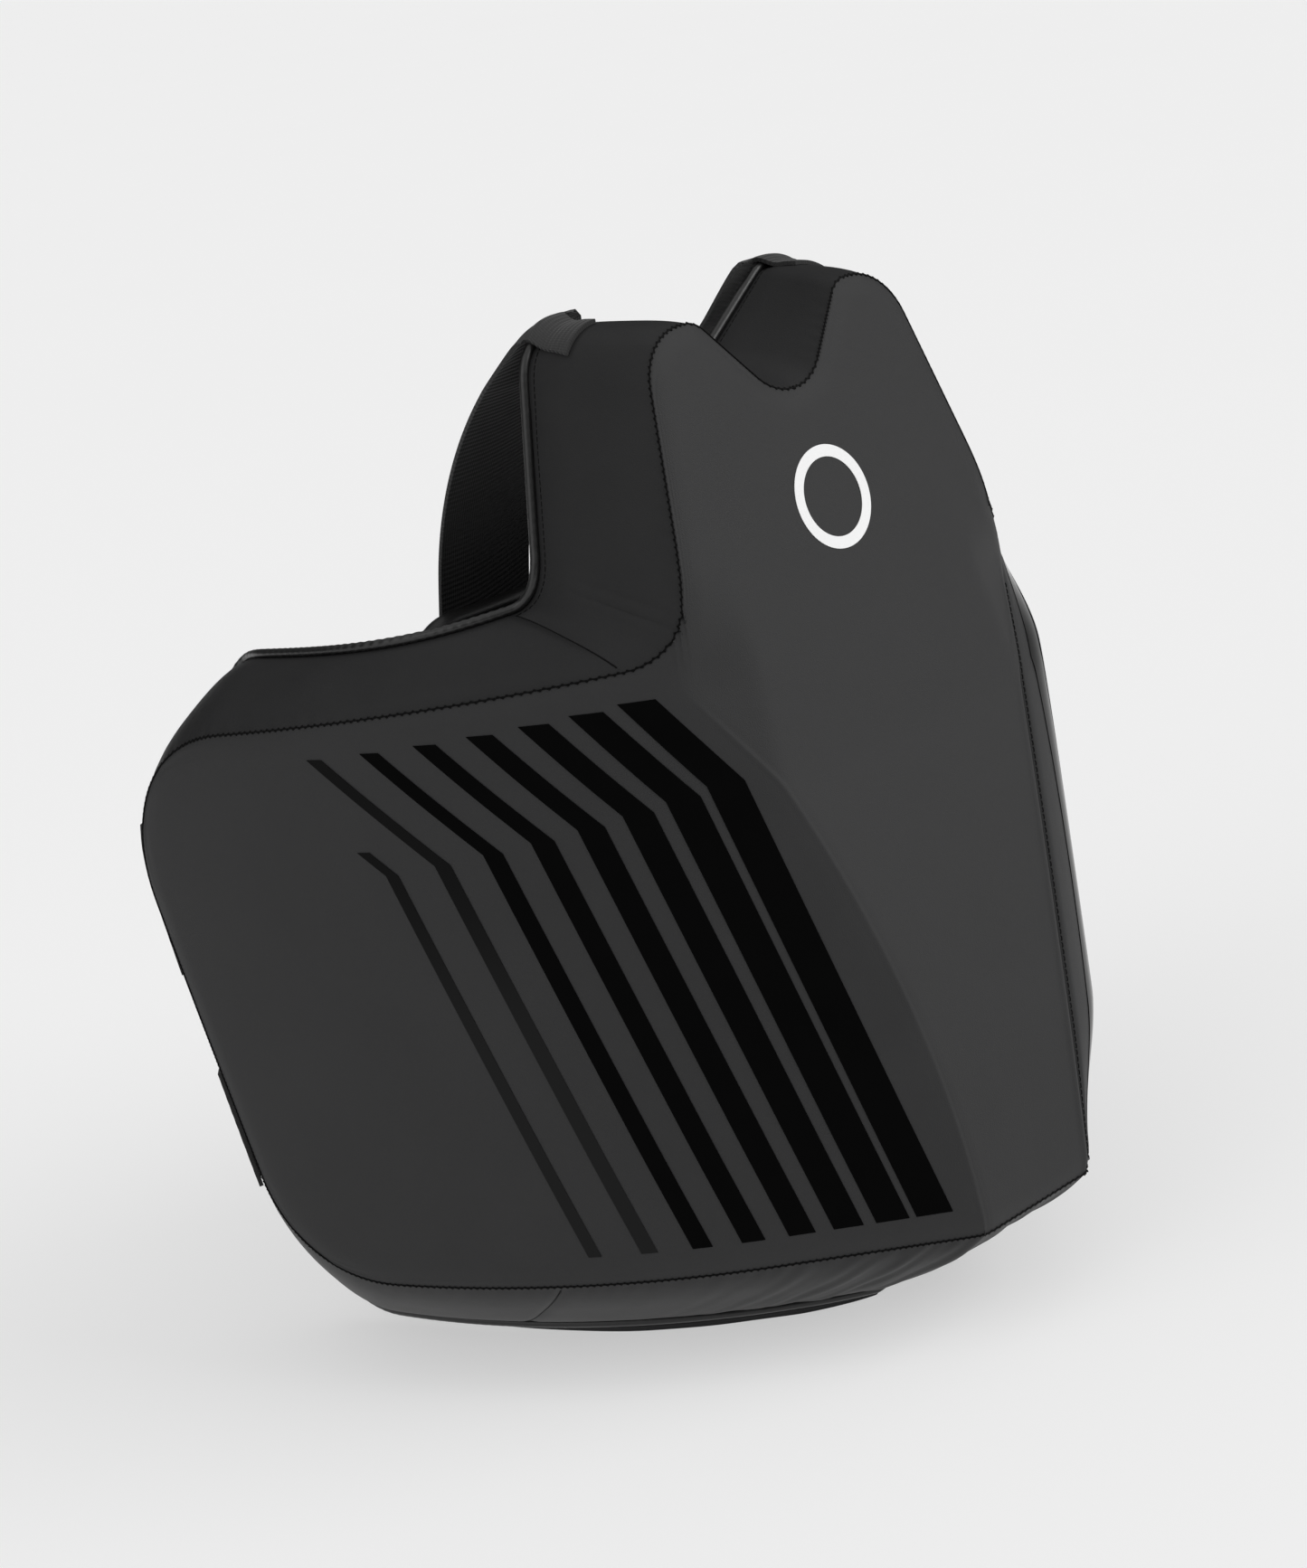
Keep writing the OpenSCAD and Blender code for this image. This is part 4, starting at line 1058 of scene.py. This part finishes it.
for side, word in ((1, "right"), (-1, "left")):
    x0, x1 = (side * (shoulder_x + k * (shoulder_w / 2 - box_margin)) for k in (-1, 1))
    d0, d1 = strap_end - box_tall, strap_end - 5
    box = [(x0, d0), (x1, d0), (x1, d1), (x0, d1)]
    lines = stitched_box(straight(hung), box, out_of_back)
    sewn = thread_mesh(f"shoulder_stitches_{word}", lines, stitch_r, web_thread)
    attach(sewn, "back")
    for level, z0, w in (("upper", upper_z, upper_w), ("lower", lower_z, lower_w)):
        d0, d1 = (down_at(z0 + k * (w / 2 - box_margin), hooked) for k in (1, -1))
        x0, x1 = side * (strap_tip + box_margin), side * (touch_x - 6)
        lines = stitched_box(straight(hooked), [(x0, d0), (x1, d0), (x1, d1), (x0, d1)], out_of_back)
        sewn = thread_mesh(f"waist_stitches_{level}_{word}", lines, stitch_r, web_thread)
        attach(sewn, f"waist_strap_{level}_{word}")

# %% [markdown]
# ## Light, floor and camera
# The white floor runs out of sight and glows a little, which keeps its shadows pale. One broad light comes from
# above, one from the front right, so that the belly is a shade lighter than the wing, and a weak one from the left.

# %% Floor
floor_paper = finish_of("floor_paper", (0.42, 0.42, 0.42), 0.9, Specular_IOR_Level=0.1,
                        Emission_Color=(1, 1, 1, 1), Emission_Strength=0.50)
mottle(floor_paper, (0.42, 0.42, 0.42), 0.004, 0.9, 0.02, 1.0)
floor_mesh = bpy.data.meshes.new("floor")
floor_mesh.from_pydata([(-60, -60, 0), (60, -60, 0), (60, 60, 0), (-60, 60, 0)], [], [(0, 1, 2, 3)])
floor_mesh.materials.append(floor_paper)
floor = bpy.data.objects.new("floor", floor_mesh)
bpy.context.scene.collection.objects.link(floor)


# %% Lights
def sun(name, towards, strength, spread):
    lamp = bpy.data.lights.new(name, "SUN")
    lamp.energy, lamp.angle = strength, math.radians(spread)
    holder = bpy.data.objects.new(name, lamp)
    holder.rotation_mode = "QUATERNION"
    holder.rotation_quaternion = Vector(towards).to_track_quat("Z", "Y")
    bpy.context.scene.collection.objects.link(holder)


sun("overhead_light", (-0.1, -0.15, 1), 1.5, 110)
sun("front_right_light", (0.6, -0.8, 0.55), 1.6, 50)
sun("left_fill_light", (-1, 0.1, 0.35), 0.75, 60)
world = bpy.data.worlds.new("studio")
bpy.context.scene.world = world
world.use_nodes = True
world.node_tree.nodes["Background"].inputs["Color"].default_value = (0.5, 0.5, 0.5, 1)
world.node_tree.nodes["Background"].inputs["Strength"].default_value = 0.12
bpy.context.scene.view_settings.view_transform = "Standard"

# %% Camera
azimuth, elevation, roll = (math.radians(a) for a in (-43.8, 15.8, 8.7))
distance = 1.933
level_share = math.cos(elevation)
back_way = Vector((math.sin(azimuth) * level_share, -math.cos(azimuth) * level_share, math.sin(elevation)))
level_right = Vector((math.cos(azimuth), math.sin(azimuth), 0))
level_up = back_way.cross(level_right)
right_way = level_right * math.cos(roll) - level_up * math.sin(roll)
up_way = level_up * math.cos(roll) + level_right * math.sin(roll)
camera = bpy.data.objects.new("camera", bpy.data.cameras.new("camera"))
camera.data.lens, camera.data.sensor_width = 75.8, 36
place = right_way * -0.235 + up_way * 0.307 + back_way * distance + Vector((0, -0.2207, 0.004))
turned = Matrix((right_way, up_way, back_way)).transposed()
camera.matrix_world = Matrix.Translation(place) @ turned.to_4x4()
bpy.context.scene.collection.objects.link(camera)
bpy.context.scene.camera = camera

# %% Bring the scene up to date
bpy.context.view_layer.update()
